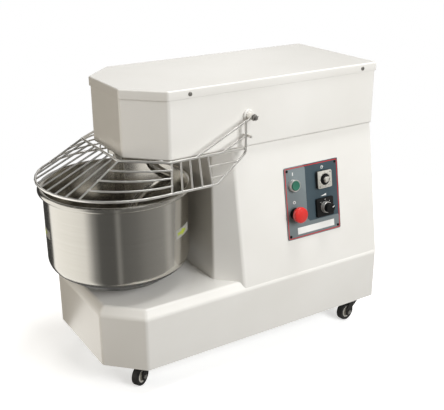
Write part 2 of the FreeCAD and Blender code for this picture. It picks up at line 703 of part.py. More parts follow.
def loop_outline(sketch, first_axis, first_radius, second_axis, second_radius):
    """Two arcs about points on the Y axis, joined by two tangent lines."""
    spread = number(second_axis) - number(first_axis)
    lean = math.asin((number(first_radius) - number(second_radius)) / spread)
    spots = []
    for axis, radius in ((first_axis, first_radius), (second_axis, second_radius)):
        reach = Vector(math.cos(lean), math.sin(lean), 0) * number(radius)
        centre = Vector(0, number(axis), 0)
        spots.append((centre, centre + reach, centre + Vector(-reach.x, reach.y, 0), number(radius)))
    up = Vector(0, 0, 1)
    low, high = spots
    low_circle, high_circle = Part.Circle(low[0], up, low[3]), Part.Circle(high[0], up, high[3])
    near = sketch.addGeometry(Part.ArcOfCircle(low_circle, math.pi - lean, 2 * math.pi + lean))
    right = sketch.addGeometry(Part.LineSegment(low[1], high[1]))
    far = sketch.addGeometry(Part.ArcOfCircle(high_circle, lean, math.pi - lean))
    left = sketch.addGeometry(Part.LineSegment(high[2], low[2]))
    for one, two in ((near, right), (right, far), (far, left), (left, near)):
        sketch.addConstraint(Sketcher.Constraint("Tangent", one, 2, two, 1))
    for arc, axis, radius in ((near, first_axis, first_radius), (far, second_axis, second_radius)):
        hold_point(sketch, arc, 3, 0, axis)
        index = sketch.addConstraint(Sketcher.Constraint("Radius", arc, number(radius)))
        sketch.setExpression("Constraints[%d]" % index, words(radius))


# Spiral hook, its spindle and the fixed breaker bar
def hook_path():
    """Centre line of the bar: down and out from the hub, round the axis, and in again at the foot."""
    top = number(hook_flange_top) - number(dim.hook_flange_thick)
    foot, sweep = number(dim.hook_bottom), number(dim.hook_sweep)
    turn = math.radians(number(dim.hook_turn_angle))
    spread_share, gather_share, foot_radius_share, spans = 0.26, 0.86, 0.42, 11

    def at(share):
        out = 0.5 - 0.5 * math.cos(math.pi * min(share / spread_share, 1))
        gather = max(share - gather_share, 0) / (1 - gather_share)
        radius = sweep * out * (1 - (1 - foot_radius_share) * gather * gather)
        drop = 1 - (1 - share) ** 1.25
        angle = turn * share
        return Vector(radius * math.cos(angle), radius * math.sin(angle), top - (top - foot) * drop)

    step = 0.001
    points, tangents = [], []
    for index in range(spans + 1):
        share = index / spans
        ahead, behind = at(min(share + step, 1)), at(max(share - step, 0))
        points.append(at(share))
        tangents.append((ahead - behind).normalize())
    tangents[0] = Vector(0, 0, -1)
    return points, tangents


def biarc(start, start_way, end, end_way):
    """Two arcs that leave and arrive along the given directions and meet smoothly between."""
    chord = end - start
    along = chord.dot(start_way + end_way)
    spread = 2 * (1 - start_way.dot(end_way))
    reach = (math.sqrt(along ** 2 + spread * chord.dot(chord)) - along) / spread
    middle = (start + end + (start_way - end_way) * reach) * 0.5
    return [(start, start_way, middle), (end, end_way * -1, middle)]


def bar_arc(start, way, end, radius):
    """Round bar bent from start, along way, to end: a torus piece, or a cylinder if straight."""
    chord = end - start
    side = way - chord * (way.dot(chord) / chord.dot(chord))
    if side.Length < 1e-6:
        return Part.makeCylinder(radius, chord.Length, start, chord)
    bend = chord.getAngle(way)
    axis = way.cross(chord).normalize()
    toward = axis.cross(way).normalize()
    centre = start + toward * (chord.Length / (2 * math.sin(bend)))
    disc = Part.Face(Part.Wire(Part.makeCircle(radius, start, way)))
    return disc.revolve(centre, axis, math.degrees(2 * bend))


def spiral_hook():
    points, tangents = hook_path()
    bar = number(dim.hook_bar_radius)
    pieces = []
    for index in range(len(points) - 1):
        for start, way, end in biarc(points[index], tangents[index], points[index + 1], tangents[index + 1]):
            pieces.append(bar_arc(start, way, end, bar))
    pieces.append(Part.makeSphere(bar, points[-1]))
    top, thick = number(hook_flange_top), number(dim.hook_flange_thick)
    flange = Part.makeCylinder(number(dim.hook_flange_radius), thick, Vector(0, 0, top - thick))
    item = fixed_shape("spiral_hook", flange.fuse(pieces).removeSplitter())
    return place(item, y=dim.hook_axis)


def hook_drive():
    shaft, clear = dim.hook_shaft_radius, dim.run_clear
    low, seat = hook_flange_top, head_bottom - dim.hook_housing_drop
    top = hook_belt_level + dim.belt_height + dim.pulley_flange
    turned("hook_shaft", [
        (0, low), (dim.hook_flange_radius, low), (dim.hook_flange_radius, seat - dim.seam_gap),
        (shaft, seat - dim.seam_gap), (shaft, top), (0, top)], dim.hook_axis)
    flange_top = head_floor_top + dim.hook_housing_flange_thick
    rise = flange_top + dim.hook_housing_rise
    body, flange = dim.hook_housing_radius, dim.hook_housing_flange
    neck = body - dim.hook_housing_step
    turned("hook_bearing", [
        (shaft + clear, seat), (body, seat), (body, head_floor_top), (flange, head_floor_top),
        (flange, flange_top), (neck, flange_top), (neck - dim.hook_housing_draft, rise),
        (shaft + clear, rise)], dim.hook_axis)
    pulley("hook_pulley", dim.hook_axis, dim.hook_pulley_radius, shaft, hook_belt_level)


def breaker_bar():
    seat = head_bottom - dim.breaker_flange
    bar, flange, fillet = dim.breaker_radius, dim.breaker_flange_radius, dim.breaker_fillet
    turned("breaker_bar", [
        (0, dim.breaker_bottom), (bar * 0.6, dim.breaker_bottom), (bar, dim.breaker_bottom + bar),
        (bar, seat - fillet), (bar + fillet, seat), (flange, seat), (flange, head_bottom), (0, head_bottom)],
        dim.breaker_axis)


# Layshaft, idler and motor
def layshaft_drive():
    shaft, axis, layshaft_top = dim.layshaft_radius, dim.layshaft_axis, head_bottom + dim.layshaft_rise
    turned("layshaft", [(0, dim.layshaft_bottom), (shaft, dim.layshaft_bottom), (shaft, layshaft_top),
                        (0, layshaft_top)], axis)
    bearings = []
    for name, seat in (("head_bearing", head_floor_top), ("deck_bearing", deck_top)):
        top = seat + dim.bearing_height
        flange_top = seat + dim.bearing_flange_thick
        inner = shaft + dim.run_clear
        item = turned_body(name, [
            (inner, seat), (dim.bearing_flange, seat), (dim.bearing_flange, flange_top),
            (dim.bearing_radius, flange_top), (dim.bearing_radius - dim.bearing_draft, top), (inner, top)])
        bearings.append(place(item, y=axis))
    pair = doc.addObject("Part::Compound", "layshaft_bearings")
    pair.Links = bearings
    keep(pair, "layshaft_bearings")
    pulley("layshaft_hook_pulley", axis, dim.layshaft_small_radius, shaft, hook_belt_level)
    pulley("layshaft_pulley", axis, dim.layshaft_big_radius, shaft, motor_belt_level)
    pulley("layshaft_base_pulley", axis, dim.layshaft_base_radius, shaft, dim.base_belt_level)


def idler_drive():
    """Stepped pulley on a stud: slows the layshaft twice on its way to the bowl."""
    stud, foot = dim.idler_stud_radius, floor_top + dim.idler_foot
    half = dim.belt_height / 2 + 1
    edge = half + dim.pulley_flange
    low, high = dim.bowl_belt_level - edge, dim.base_belt_level + edge
    inner, small, big = stud + dim.run_clear, dim.idler_small_radius, dim.idler_big_radius
    rise, web, rim = dim.pulley_flange_rise, dim.pulley_web / 2, dim.pulley_rim
    hub = stud + dim.pulley_hub
    turned("idler_stud", [
        (0, floor_top), (dim.idler_foot_radius, floor_top), (dim.idler_foot_radius, foot), (hub, foot),
        (hub, low - dim.seam_gap), (stud, low - dim.seam_gap), (stud, high + dim.idler_end),
        (0, high + dim.idler_end)], dim.idler_axis)
    turned("idler_pulley", [
        (inner, low), (small + rise, low), (small + rise, dim.bowl_belt_level - half),
        (small, dim.bowl_belt_level - half), (small, dim.bowl_belt_level + half),
        (small + rise, dim.bowl_belt_level + half), (small + rise, dim.bowl_belt_level + edge),
        (hub, dim.bowl_belt_level + edge), (hub, dim.base_belt_level - web),
        (big - rim, dim.base_belt_level - web), (big - rim, dim.base_belt_level - edge),
        (big + rise, dim.base_belt_level - edge), (big + rise, dim.base_belt_level - half),
        (big, dim.base_belt_level - half), (big, dim.base_belt_level + half),
        (big + rise, dim.base_belt_level + half), (big + rise, high), (big - rim, high),
        (big - rim, dim.base_belt_level + web), (hub, dim.base_belt_level + web), (hub, high),
        (inner, high)], dim.idler_axis)


def motor_drive():
    """Flange motor that hangs from the head's floor, with its shaft up into the head."""
    shaft, axis = dim.motor_shaft_radius, dim.motor_axis
    seat = head_bottom
    low = seat - dim.motor_length
    top = motor_belt_level + dim.belt_height + dim.pulley_flange
    inner, grip = shaft + dim.run_clear, seat - dim.motor_shaft_grip
    turned("motor", [
        (0, low), (dim.motor_fan_radius, low), (dim.motor_fan_radius, low + dim.motor_fan),
        (dim.motor_radius, low + dim.motor_fan), (dim.motor_radius, seat - dim.motor_flange),
        (dim.motor_flange_radius, seat - dim.motor_flange), (dim.motor_flange_radius, seat), (inner, seat),
        (inner, grip), (0, grip)], axis)
    shaft_end = grip + dim.seam_gap
    turned("motor_shaft", [(0, shaft_end), (shaft, shaft_end), (shaft, top), (0, top)], axis)
    pulley("motor_pulley", axis, dim.motor_pulley_radius, shaft, motor_belt_level)


def belts():
    belt("hook_belt", dim.hook_axis, dim.hook_pulley_radius, dim.layshaft_axis, dim.layshaft_small_radius,
         hook_belt_level)
    belt("motor_belt", dim.layshaft_axis, dim.layshaft_big_radius, dim.motor_axis, dim.motor_pulley_radius,
         motor_belt_level)
    belt("base_belt", dim.layshaft_axis, dim.layshaft_base_radius, dim.idler_axis, dim.idler_big_radius,
         dim.base_belt_level)
    belt("bowl_belt", dim.bowl_axis, dim.bowl_pulley_radius, dim.idler_axis, dim.idler_small_radius,
         dim.bowl_belt_level)


# Wire guard
hub_face = head_half + dim.bush_flange_thick + dim.guard_gap


def rod(start, end, radius):
    return Part.makeCylinder(radius, (end - start).Length, start, end - start)


def end_trim(way, other_way, radius, other_radius):
    """How far a bar stops short of another rod's centre line so that its flat end just meets it."""
    slant = abs(way.dot(other_way)) / (way.Length * other_way.Length)
    across = math.sqrt(1 - slant ** 2)
    return (other_radius + radius * slant) / across


def welded_bar(start, start_rod, end, end_rod, radius, rod_radius):
    """Straight bar between two rods, each given by its direction where the bar meets it."""
    way = (end - start).normalize()
    low = end_trim(way, start_rod, radius, rod_radius)
    high = end_trim(way, end_rod, radius, rod_radius)
    return rod(start + way * low, end - way * high, radius)


def bent_rod(points, bend, radius):
    """Rod through the given corners: straight runs and round bends, one solid for each."""
    pieces = []
    start = points[0]
    for before, corner, after in zip(points, points[1:], points[2:]):
        arriving, leaving = (corner - before).normalize(), (after - corner).normalize()
        trim = bend * math.tan(arriving.getAngle(leaving) / 2)
        pieces.append(rod(start, corner - arriving * trim, radius))
        start = corner + leaving * trim
        pieces.append(bar_arc(corner - arriving * trim, arriving, start, radius))
    pieces.append(rod(start, points[-1], radius))
    return pieces


def mirrored(shape):
    return shape.mirror(Vector(0, 0, 0), Vector(1, 0, 0))


def guard_frame():
    """Welded guard: upper hoop round the head's nose, lower ring over the bowl, bars between."""
    wire, bar, bend = number(dim.guard_rod), number(dim.guard_bar), number(dim.hoop_bend)
    front, side, level = (number(head_front - dim.hoop_gap), number(dim.hoop_side),
                          number(head_bottom + dim.hoop_rise))
    corner = Vector(number(dim.hoop_front_half), front, level)
    side_corner = Vector(side, number(head_front + dim.hoop_corner_back), level)
    post_y, pivot = number(dim.post_y), Vector(side, number(dim.pivot_y), number(pivot_z))
    centre = Vector(0, number(dim.ring_centre), number(ring_level))
    ring = number(dim.ring_radius)
    along, across, upward = Vector(0, 1, 0), Vector(1, 0, 0), Vector(0, 0, 1)
    chamfer_way = side_corner - corner

    def on_ring(angle):
        return centre + Vector(math.cos(angle), math.sin(angle), 0) * ring

    def ring_way(angle):
        return Vector(-math.sin(angle), math.cos(angle), 0)

    # right half: hoop, ring quarter, its run back and up to the post
    hoop_end = Vector(side, post_y - wire - bar, level)
    right = bent_rod([Vector(0, front, level), corner, side_corner, hoop_end], bend, wire)
    quarter_pieces = 5
    for index in range(quarter_pieces):
        start = -math.pi / 2 * (1 - index / quarter_pieces)
        end = -math.pi / 2 * (1 - (index + 1) / quarter_pieces)
        right.append(bar_arc(on_ring(start), ring_way(start), on_ring(end), wire))
    run_end = Vector(ring, number(dim.ring_straight_end), centre.z)
    post_foot = Vector(side, post_y, number(head_bottom - dim.post_drop))
    hub = number(dim.hub_radius)
    stay_end = Vector(side, number(dim.stay_end_y), level)
    stay_way = (stay_end - pivot).normalize()
    stay_rise = stay_way.z / stay_way.y
    post_top = Vector(side, post_y, pivot.z + stay_rise * (post_y - pivot.y))
    post_top.z -= end_trim(upward, stay_way, wire, bar)
    right += bent_rod([on_ring(0), run_end, post_foot, post_top], bend, wire)

    # bars: side, corner sector and front
    ring_side = Vector(ring, 0, centre.z)
    first, pitch, rake = number(dim.side_bar_first), number(dim.side_bar_pitch), number(dim.side_bar_rake)
    side_bars = 5
    for index in range(side_bars):
        y = first + pitch * index
        top = Vector(side, y, level)
        foot = Vector(ring_side.x, y - rake * (1 - index / (side_bars - 1)), centre.z)
        right.append(welded_bar(top, along, foot, along, bar, wire))
    radial = math.radians(number(dim.corner_bar_angle))
    outer_middle = on_ring(math.radians(number(dim.corner_arc_angle)))
    inner_middle = (corner + side_corner) * 0.5
    right.append(welded_bar(corner, chamfer_way, on_ring(radial), ring_way(radial), bar, wire))
    corner_arcs = 3
    corner_end = Vector(side, first, level)
    corner_foot = Vector(ring_side.x, first - rake, centre.z)
    for index in range(1, corner_arcs + 1):
        share = index / (corner_arcs + 1)
        one = corner + (on_ring(radial) - corner) * share
        two = corner_end + (corner_foot - corner_end) * share
        middle = inner_middle + (outer_middle - inner_middle) * share
        right.append(sector_arc(one, middle, two, bar))
    front_pitch = 2 * corner.x / 7
    for index in range(3):
        x = front_pitch * (index + 0.5)
        angle = -math.acos(x / ring)
        right.append(welded_bar(Vector(x, front, level), across, on_ring(angle), ring_way(angle), bar, wire))

    # side stays from the pivot, the stop pin on the post, and two short rungs ahead of it
    right.append(rod(pivot + stay_way * hub, stay_end - stay_way * end_trim(stay_way, along, bar, wire), bar))
    brace = Vector(side, post_y, number(head_bottom + dim.brace_rise))
    right.append(welded_bar(brace, upward, Vector(side, number(dim.brace_end_y), level), along, bar, wire))
    reach = number(dim.stop_pin_reach)
    pin = Vector(side, post_y + 2 * wire, brace.z)
    right.append(rod(pin - across * (reach - wire), pin + across * reach, wire))
    last_top = Vector(side, first + pitch * (side_bars - 1), level)
    last_foot = Vector(ring_side.x, last_top.y, centre.z)
    for share in (0.38, 0.76):
        start = last_top + (last_foot - last_top) * share
        climb = (start.z - run_end.z) / (post_foot.z - run_end.z)
        end = run_end + (post_foot - run_end) * climb
        right.append(welded_bar(start, last_foot - last_top, end, post_foot - run_end, bar, wire))
    seat, hub_length = Vector(number(hub_face), pivot.y, pivot.z), number(dim.hub_length)
    eye = Part.makeCylinder(hub, hub_length, seat, across)
    right.append(eye.cut(Part.makeCylinder(number(dim.axle_radius) + number(dim.run_clear) / 2, hub_length,
                                           seat, across)))
    return fixed_shape("guard_frame", Part.makeCompound(right + [mirrored(piece) for piece in right]))


def sector_arc(one, middle, two, radius):
    """Curved bar through three points, its ends cut back to the bars that carry it."""
    edge = Part.Arc(one, middle, two).toShape()
    trim = 2.1 * radius / edge.Curve.Radius
    low, high = edge.FirstParameter + trim, edge.LastParameter - trim
    return bar_arc(edge.valueAt(low), edge.tangentAt(low), edge.valueAt(high), radius)


def guard_pivots():
    """Bushes in the head's walls, axles through them, the cams inside and the end nuts outside."""
    wall, gap = dim.sheet_thick, dim.guard_gap
    outer, inner = hub_face - gap, head_half - wall - dim.bush_flange_thick
    bore = dim.axle_radius + dim.run_clear
    hub_out = hub_face + dim.hub_length
    bush = turned_body("bush_form", [
        (bore, inner), (dim.bush_radius, inner), (dim.bush_radius, head_half), (dim.bush_flange, head_half),
        (dim.bush_flange, outer), (bore, outer)])
    cam_start, cam_end = dim.axle_inner, dim.axle_inner + dim.cam_length
    axle = turned_body("axle_form", [
        (0, cam_start), (dim.cam_radius, cam_start), (dim.cam_radius, cam_end), (dim.axle_radius, cam_end),
        (dim.axle_radius, hub_out), (0, hub_out)])
    nut, chamfer, nut_end = dim.nut_radius, dim.nut_chamfer, hub_out + dim.nut_length
    nut_form = turned_body("nut_form", [
        (0, hub_out), (nut, hub_out), (nut, nut_end - chamfer), (nut - chamfer, nut_end), (0, nut_end)])
    flat = new_sketch(axle, "XY_Plane", cam_start)
    reach = dim.cam_radius * 1.1
    rectangle(flat, dim.axle_radius + 2, -reach, reach, reach)
    pocket(axle, flat, dim.cam_length, reverse=True)
    for label, form in (("guard_bushes", bush), ("guard_axles", axle), ("guard_nuts", nut_form)):
        form.Placement = Placement(Vector(), Rotation(Vector(0, 1, 0), 90))
        place(form, y=dim.pivot_y, z=pivot_z)
        other = doc.addObject("Part::Mirroring", label + "_left")
        other.Source = form
        other.Normal = Vector(1, 0, 0)
        pair = doc.addObject("Part::Compound", label)
        pair.Links = [form, other]
        keep(pair, label)
    switch = new_body("guard_switch")
    case = new_sketch(switch, "YZ_Plane", head_half - wall)
    top = pivot_z - dim.cam_radius - gap
    rectangle(case, dim.pivot_y - dim.switch_width / 2, top - dim.switch_height,
              dim.pivot_y + dim.switch_width / 2, top)
    pad(switch, case, dim.switch_depth, reverse=True)
    keep(switch, "guard_switch")


# Electrical pieces at the rear
def rear_electrics():
    inner_face = dim.base_rear - dim.rear_panel_thick
    body = turned_body("cable_gland", [
        (dim.gland_bore, -dim.gland_depth), (dim.gland_thread, -dim.gland_depth), (dim.gland_thread, 0),
        (dim.gland_radius, 0), (dim.gland_radius, dim.gland_reach * 0.6),
        (dim.gland_radius * 0.75, dim.gland_reach), (dim.gland_bore, dim.gland_reach)])
    body.Placement = Placement(Vector(), Rotation(Vector(1, 0, 0), -90))
    keep(place(body, x=dim.gland_x, y=dim.base_rear, z=dim.gland_z), "cable_gland")
    box = new_body("contactor")
    face = new_sketch(box, "XZ_Plane", -inner_face)
    half = dim.contactor_width / 2
    rectangle(face, -half, dim.contactor_z, half, dim.contactor_z + dim.contactor_height)
    pad(box, face, dim.contactor_depth)
    keep(box, "contactor")


# Casters
caster_front_x, caster_front_y = base_half - dim.caster_front_inset, base_front + dim.caster_front_back
caster_rear_x, caster_rear_y = base_half - dim.caster_rear_inset, dim.base_rear - dim.caster_rear_ahead
CASTERS = {
    "front_right": (caster_front_x, caster_front_y, dim.yaw_angle_front_right),
    "front_left": (-caster_front_x, caster_front_y, dim.yaw_angle_front_left),
    "rear_right": (caster_rear_x, caster_rear_y, dim.yaw_angle_rear_right),
    "rear_left": (-caster_rear_x, caster_rear_y, dim.yaw_angle_rear_left),
}
plate_under = dim.caster_height - dim.caster_plate_thick
crown_top = plate_under - dim.seam_gap
crown_bottom = crown_top - dim.fork_crown


def caster_plates():
    body = new_body("caster_plates")
    face = new_sketch(body, "XY_Plane", plate_under)
    half = dim.caster_plate / 2
    for x, y, _ in CASTERS.values():
        rectangle(face, x - half, y - half, x + half, y + half)
        circle(face, x, y, dim.kingpin_radius + dim.run_clear)
    pad(body, face, dim.caster_plate_thick)
    return keep(body, "caster_plates")


def set_on_caster(body, label, x, y, yaw):
    """Seat a piece drawn about the swivel axis, with the wheel trailing towards -Y, at its yaw."""
    body.setExpression("Placement", placement_text(vector_text(x, y, 0), vector_text(0, 0, 1), yaw.text))
    return keep(body, label)


def caster_fork(label):
    """Pressed fork: crown with kingpin, and two cheeks that sweep back to the axle eyes."""
    body = turned_body(label, [
        (0, crown_bottom), (dim.fork_crown_radius, crown_bottom), (dim.fork_crown_radius, crown_top),
        (dim.kingpin_radius, crown_top), (dim.kingpin_radius, dim.caster_height), (0, dim.caster_height)])
    cheek = dim.fork_crown_radius * 0.8
    eye, trail, axle = dim.fork_eye, dim.caster_trail, dim.wheel_radius
    for inner, outward in ((dim.fork_inside / 2, True), (-dim.fork_inside / 2, False)):
        side = new_sketch(body, "YZ_Plane", inner)
        polygon(side, [(-cheek, crown_bottom + dim.cheek_overlap), (cheek, crown_bottom + dim.cheek_overlap),
                       (cheek * 0.8, crown_bottom - dim.cheek_waist),
                       (eye - trail, axle + eye * 0.6), (eye * 0.6 - trail, axle - eye),
                       (-trail - eye * 0.6, axle - eye), (-trail - eye, axle + eye * 0.4)])
        circle(side, -trail, axle, dim.wheel_bore + dim.run_clear / 2)
        pad(body, side, dim.fork_thick, reverse=not outward)
    return body


def along_axle(label, profile):
    """A body turned about the wheel's own axle, across the fork."""
    body = new_body(label)
    sketch = new_sketch(body, "XY_Plane", dim.wheel_radius)
    polygon(sketch, [(across, radius - dim.caster_trail) for radius, across in profile])
    feature = body.newObject("PartDesign::Revolution", label + "_turn")
    axis = new_sketch(body, "XY_Plane", dim.wheel_radius)
    line = axis.addGeometry(Part.LineSegment(Vector(-1, -1, 0), Vector(1, -1, 0)))
    hold_point(axis, line, 1, -dim.fork_inside, -dim.caster_trail)
    hold_point(axis, line, 2, dim.fork_inside, -dim.caster_trail)
    feature.Profile = sketch
    feature.ReferenceAxis = (axis, ["Edge1"])
    feature.Angle = 360
    return body


def casters():
    caster_plates()
    half, hub_half, bore = dim.wheel_width / 2, dim.wheel_hub_width / 2, dim.wheel_bore + dim.run_clear
    tread, hub = dim.wheel_radius, dim.wheel_hub_radius
    reach = dim.fork_inside / 2 + dim.fork_thick
    pin, head = dim.wheel_bore, dim.axle_head_radius
    for corner, seat in CASTERS.items():
        set_on_caster(caster_fork("caster_fork_" + corner), "caster_fork_" + corner, *seat)
        wheel = along_axle("caster_wheel_" + corner, [
            (bore, -hub_half), (hub, -hub_half), (hub, -half * 0.7), (tread - 5, -half), (tread - 1.5, -half),
            (tread, 1.5 - half), (tread, half - 1.5), (tread - 1.5, half), (tread - 5, half),
            (hub, half * 0.7), (hub, hub_half), (bore, hub_half)])
        set_on_caster(wheel, "caster_wheel_" + corner, *seat)
        axle = along_axle("caster_axle_" + corner, [
            (0, -reach - dim.axle_head), (head, -reach - dim.axle_head), (head, -reach), (pin, -reach),
            (pin, reach), (head, reach), (head, reach + dim.axle_head), (0, reach + dim.axle_head)])
        set_on_caster(axle, "caster_axle_" + corner, *seat)


def build():
    base_form = base_block("base_form")
    base_shell()
    bottom_plate()
    column_shell(base_form)
    rear_panel()
    head_shell()
    top_cover()
    cover_screws()
    panel_plate()
    panel_screws()
    push_buttons()
    rotary_devices()
    bowl()
    bowl_drive()
    spiral_hook()
    hook_drive()
    breaker_bar()
    layshaft_drive()
    idler_drive()
    motor_drive()
    belts()
    guard_frame()
    guard_pivots()
    rear_electrics()
    casters()
    doc.recompute()


def check_and_write():
    faults = [item.Label for item in doc.Objects if {"Invalid", "Error"} & set(item.State)]
    for item in parts:
        if item.Shape.isNull() or not item.Shape.isValid():
            faults.append(item.Label)
    if faults:
        raise RuntimeError("failed: " + ", ".join(faults))
    os.makedirs("parts", exist_ok=True)
    for item in parts:
        item.Shape.exportStep("parts/%s.step" % item.Label)
    print(len(parts), "sub-parts written")


build()
check_and_write()
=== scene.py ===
# %% [markdown]
# # A floor-standing spiral dough mixer
# The machine is a white enamelled casing on casters, with a stainless bowl, a spiral hook, a wire guard
# and a small control plate. The measured parts come in as a fixed frame. This script gives each of them
# its finish, and rebuilds the ones that show with the folds, bends and small details that a maker gives
# them.

# %% Load the frame
import json
import math

import bmesh
import bpy
from mathutils import Matrix, Vector


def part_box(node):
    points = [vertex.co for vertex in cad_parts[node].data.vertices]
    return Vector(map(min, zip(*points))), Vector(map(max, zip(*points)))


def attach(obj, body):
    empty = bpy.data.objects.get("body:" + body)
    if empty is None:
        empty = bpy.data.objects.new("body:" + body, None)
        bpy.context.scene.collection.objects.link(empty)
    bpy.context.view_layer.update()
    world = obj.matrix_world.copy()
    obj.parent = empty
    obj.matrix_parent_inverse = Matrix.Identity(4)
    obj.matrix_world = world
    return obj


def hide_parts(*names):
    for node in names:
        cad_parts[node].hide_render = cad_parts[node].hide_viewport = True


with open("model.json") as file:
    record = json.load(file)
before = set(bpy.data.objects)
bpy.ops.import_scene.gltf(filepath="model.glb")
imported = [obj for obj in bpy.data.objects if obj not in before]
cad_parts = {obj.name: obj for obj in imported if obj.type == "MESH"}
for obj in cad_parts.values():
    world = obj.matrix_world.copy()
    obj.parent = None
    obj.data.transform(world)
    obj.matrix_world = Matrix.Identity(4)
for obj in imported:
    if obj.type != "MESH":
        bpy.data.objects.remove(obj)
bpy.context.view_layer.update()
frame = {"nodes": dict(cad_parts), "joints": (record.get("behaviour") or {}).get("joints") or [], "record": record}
scene = bpy.context.scene
scene.view_settings.view_transform = "Standard"
joints = {joint["name"]: joint for joint in frame["joints"]}
MM = 0.001
CORNERS = ("front_right", "front_left", "rear_right", "rear_left")

# %% [markdown]
# ## Camera
# The photograph was taken from the front right, above the lid. A camera is placed by the direction that
# it looks in: yaw and pitch give that direction, and a cross product gives its right and its up. The
# focal length is known in pixels, so it is turned into the lens that a 36 mm wide sensor needs for the
# same picture.

# %% Camera at the photograph's place
CAMERA_PLACE = Vector((1.5883, -0.9378, 1.0799))
YAW, PITCH, ROLL = (math.radians(angle) for angle in (58.03, -21.61, -0.289))
FOCAL_PIXELS, PHOTO_WIDTH, SENSOR_WIDTH = 772.7, 444, 36

ahead = Vector((-math.sin(YAW) * math.cos(PITCH), math.cos(YAW) * math.cos(PITCH), math.sin(PITCH)))
level_right = Vector((math.cos(YAW), math.sin(YAW), 0))
level_up = level_right.cross(ahead)
camera_right = level_right * math.cos(ROLL) + level_up * math.sin(ROLL)
camera_up = level_up * math.cos(ROLL) - level_right * math.sin(ROLL)
camera_turn = Matrix((camera_right, camera_up, -ahead)).transposed().to_4x4()

camera_data = bpy.data.cameras.new("camera")
camera_data.sensor_width = SENSOR_WIDTH
camera_data.lens = FOCAL_PIXELS * SENSOR_WIDTH / PHOTO_WIDTH
camera = bpy.data.objects.new("camera", camera_data)
camera.matrix_world = Matrix.Translation(CAMERA_PLACE) @ camera_turn
scene.collection.objects.link(camera)
scene.camera = camera
print("camera: lens %.2f mm" % camera_data.lens)

# %% [markdown]
# ## Building materials from nodes
# No real surface has one even colour. Painted pictures could show that, but they need a map on every
# piece, so the finishes are built from noise nodes instead. A small function adds a node and sets its
# sockets, which keeps each finish readable. All patterns read Object coordinates, which are metres, so a
# noise scale of 500 gives grains about 2 mm wide.

# %% Node helpers
def add_node(tree, kind, sockets=None, **properties):
    made = tree.nodes.new("ShaderNode" + kind)
    for name, value in properties.items():
        setattr(made, name, value)
    for name, value in (sockets or {}).items():
        made.inputs[name].default_value = value
    return made


def grain(tree, scale, stretch=(1, 1, 1), detail=4):
    """Noise on the piece's own metres, drawn out along an axis where stretch is small."""
    place = add_node(tree, "TexCoord")
    mapping = add_node(tree, "Mapping", {"Scale": stretch})
    noise = add_node(tree, "TexNoise", {"Scale": scale, "Detail": detail})
    tree.links.new(place.outputs["Object"], mapping.inputs["Vector"])
    tree.links.new(mapping.outputs["Vector"], noise.inputs["Vector"])
    return noise.outputs["Fac"]


def ramp(tree, factor, stops):
    """Colours at places along a factor from 0 to 1."""
    made = add_node(tree, "ValToRGB")
    elements = made.color_ramp.elements
    while len(elements) < len(stops):
        elements.new(0.5)
    for element, (position, colour) in zip(elements, stops):
        element.position, element.color = position, (*colour, 1)
    tree.links.new(factor, made.inputs["Fac"])
    return made.outputs["Color"]


def spread(tree, factor, low, high):
    made = add_node(tree, "MapRange", {"To Min": low, "To Max": high})
    tree.links.new(factor, made.inputs["Value"])
    return made.outputs["Result"]


print("node helpers ready")

# %% [markdown]
# ## One recipe for every finish
# Paint, plating, plastic and rubber differ in colour, gloss and grain, but not in how they are built. So
# one function makes them all: a slow noise drifts the base colour between two tints, and a fine noise
# varies the gloss and raises a slight relief. What is the same all over is set on the shader's sockets.

# %% The recipe
def finish(name, dark, light, roughness, metallic=0.0, coat=0.0, mottle=18, fine=900, relief=0.05,
           stretch=(1, 1, 1), shine=0.5):
    """A finish whose tint drifts from dark to light and whose gloss and relief follow a fine grain."""
    material = bpy.data.materials.new(name)
    material.use_nodes = True
    tree = material.node_tree
    shader = tree.nodes["Principled BSDF"]
    tint = ramp(tree, grain(tree, mottle, stretch), [(0.32, dark), (0.68, light)])
    tree.links.new(tint, shader.inputs["Base Color"])
    grains = grain(tree, fine, stretch)
    tree.links.new(spread(tree, grains, *roughness), shader.inputs["Roughness"])
    bump = add_node(tree, "Bump", {"Strength": relief, "Distance": 0.3 * MM})
    tree.links.new(grains, bump.inputs["Height"])
    tree.links.new(bump.outputs["Normal"], shader.inputs["Normal"])
    shader.inputs["Metallic"].default_value = metallic
    shader.inputs["Specular IOR Level"].default_value = shine
    shader.inputs["Coat Weight"].default_value = coat
    shader.inputs["Coat Roughness"].default_value = 0.12
    return material


print("recipe ready")

# %% [markdown]
# ## The finishes
# The casing is stove enamel: warm white, glossy, with the faint orange peel of sprayed paint. Guard wires
# are bright, castings are dark and grainy, and plastics have a fine moulded texture. One dictionary holds
# a finish for each slot of the record, so a piece finds its own by name. The inks and films of the plate
# and the stickers follow it, because they are printed on top of a slot's surface.

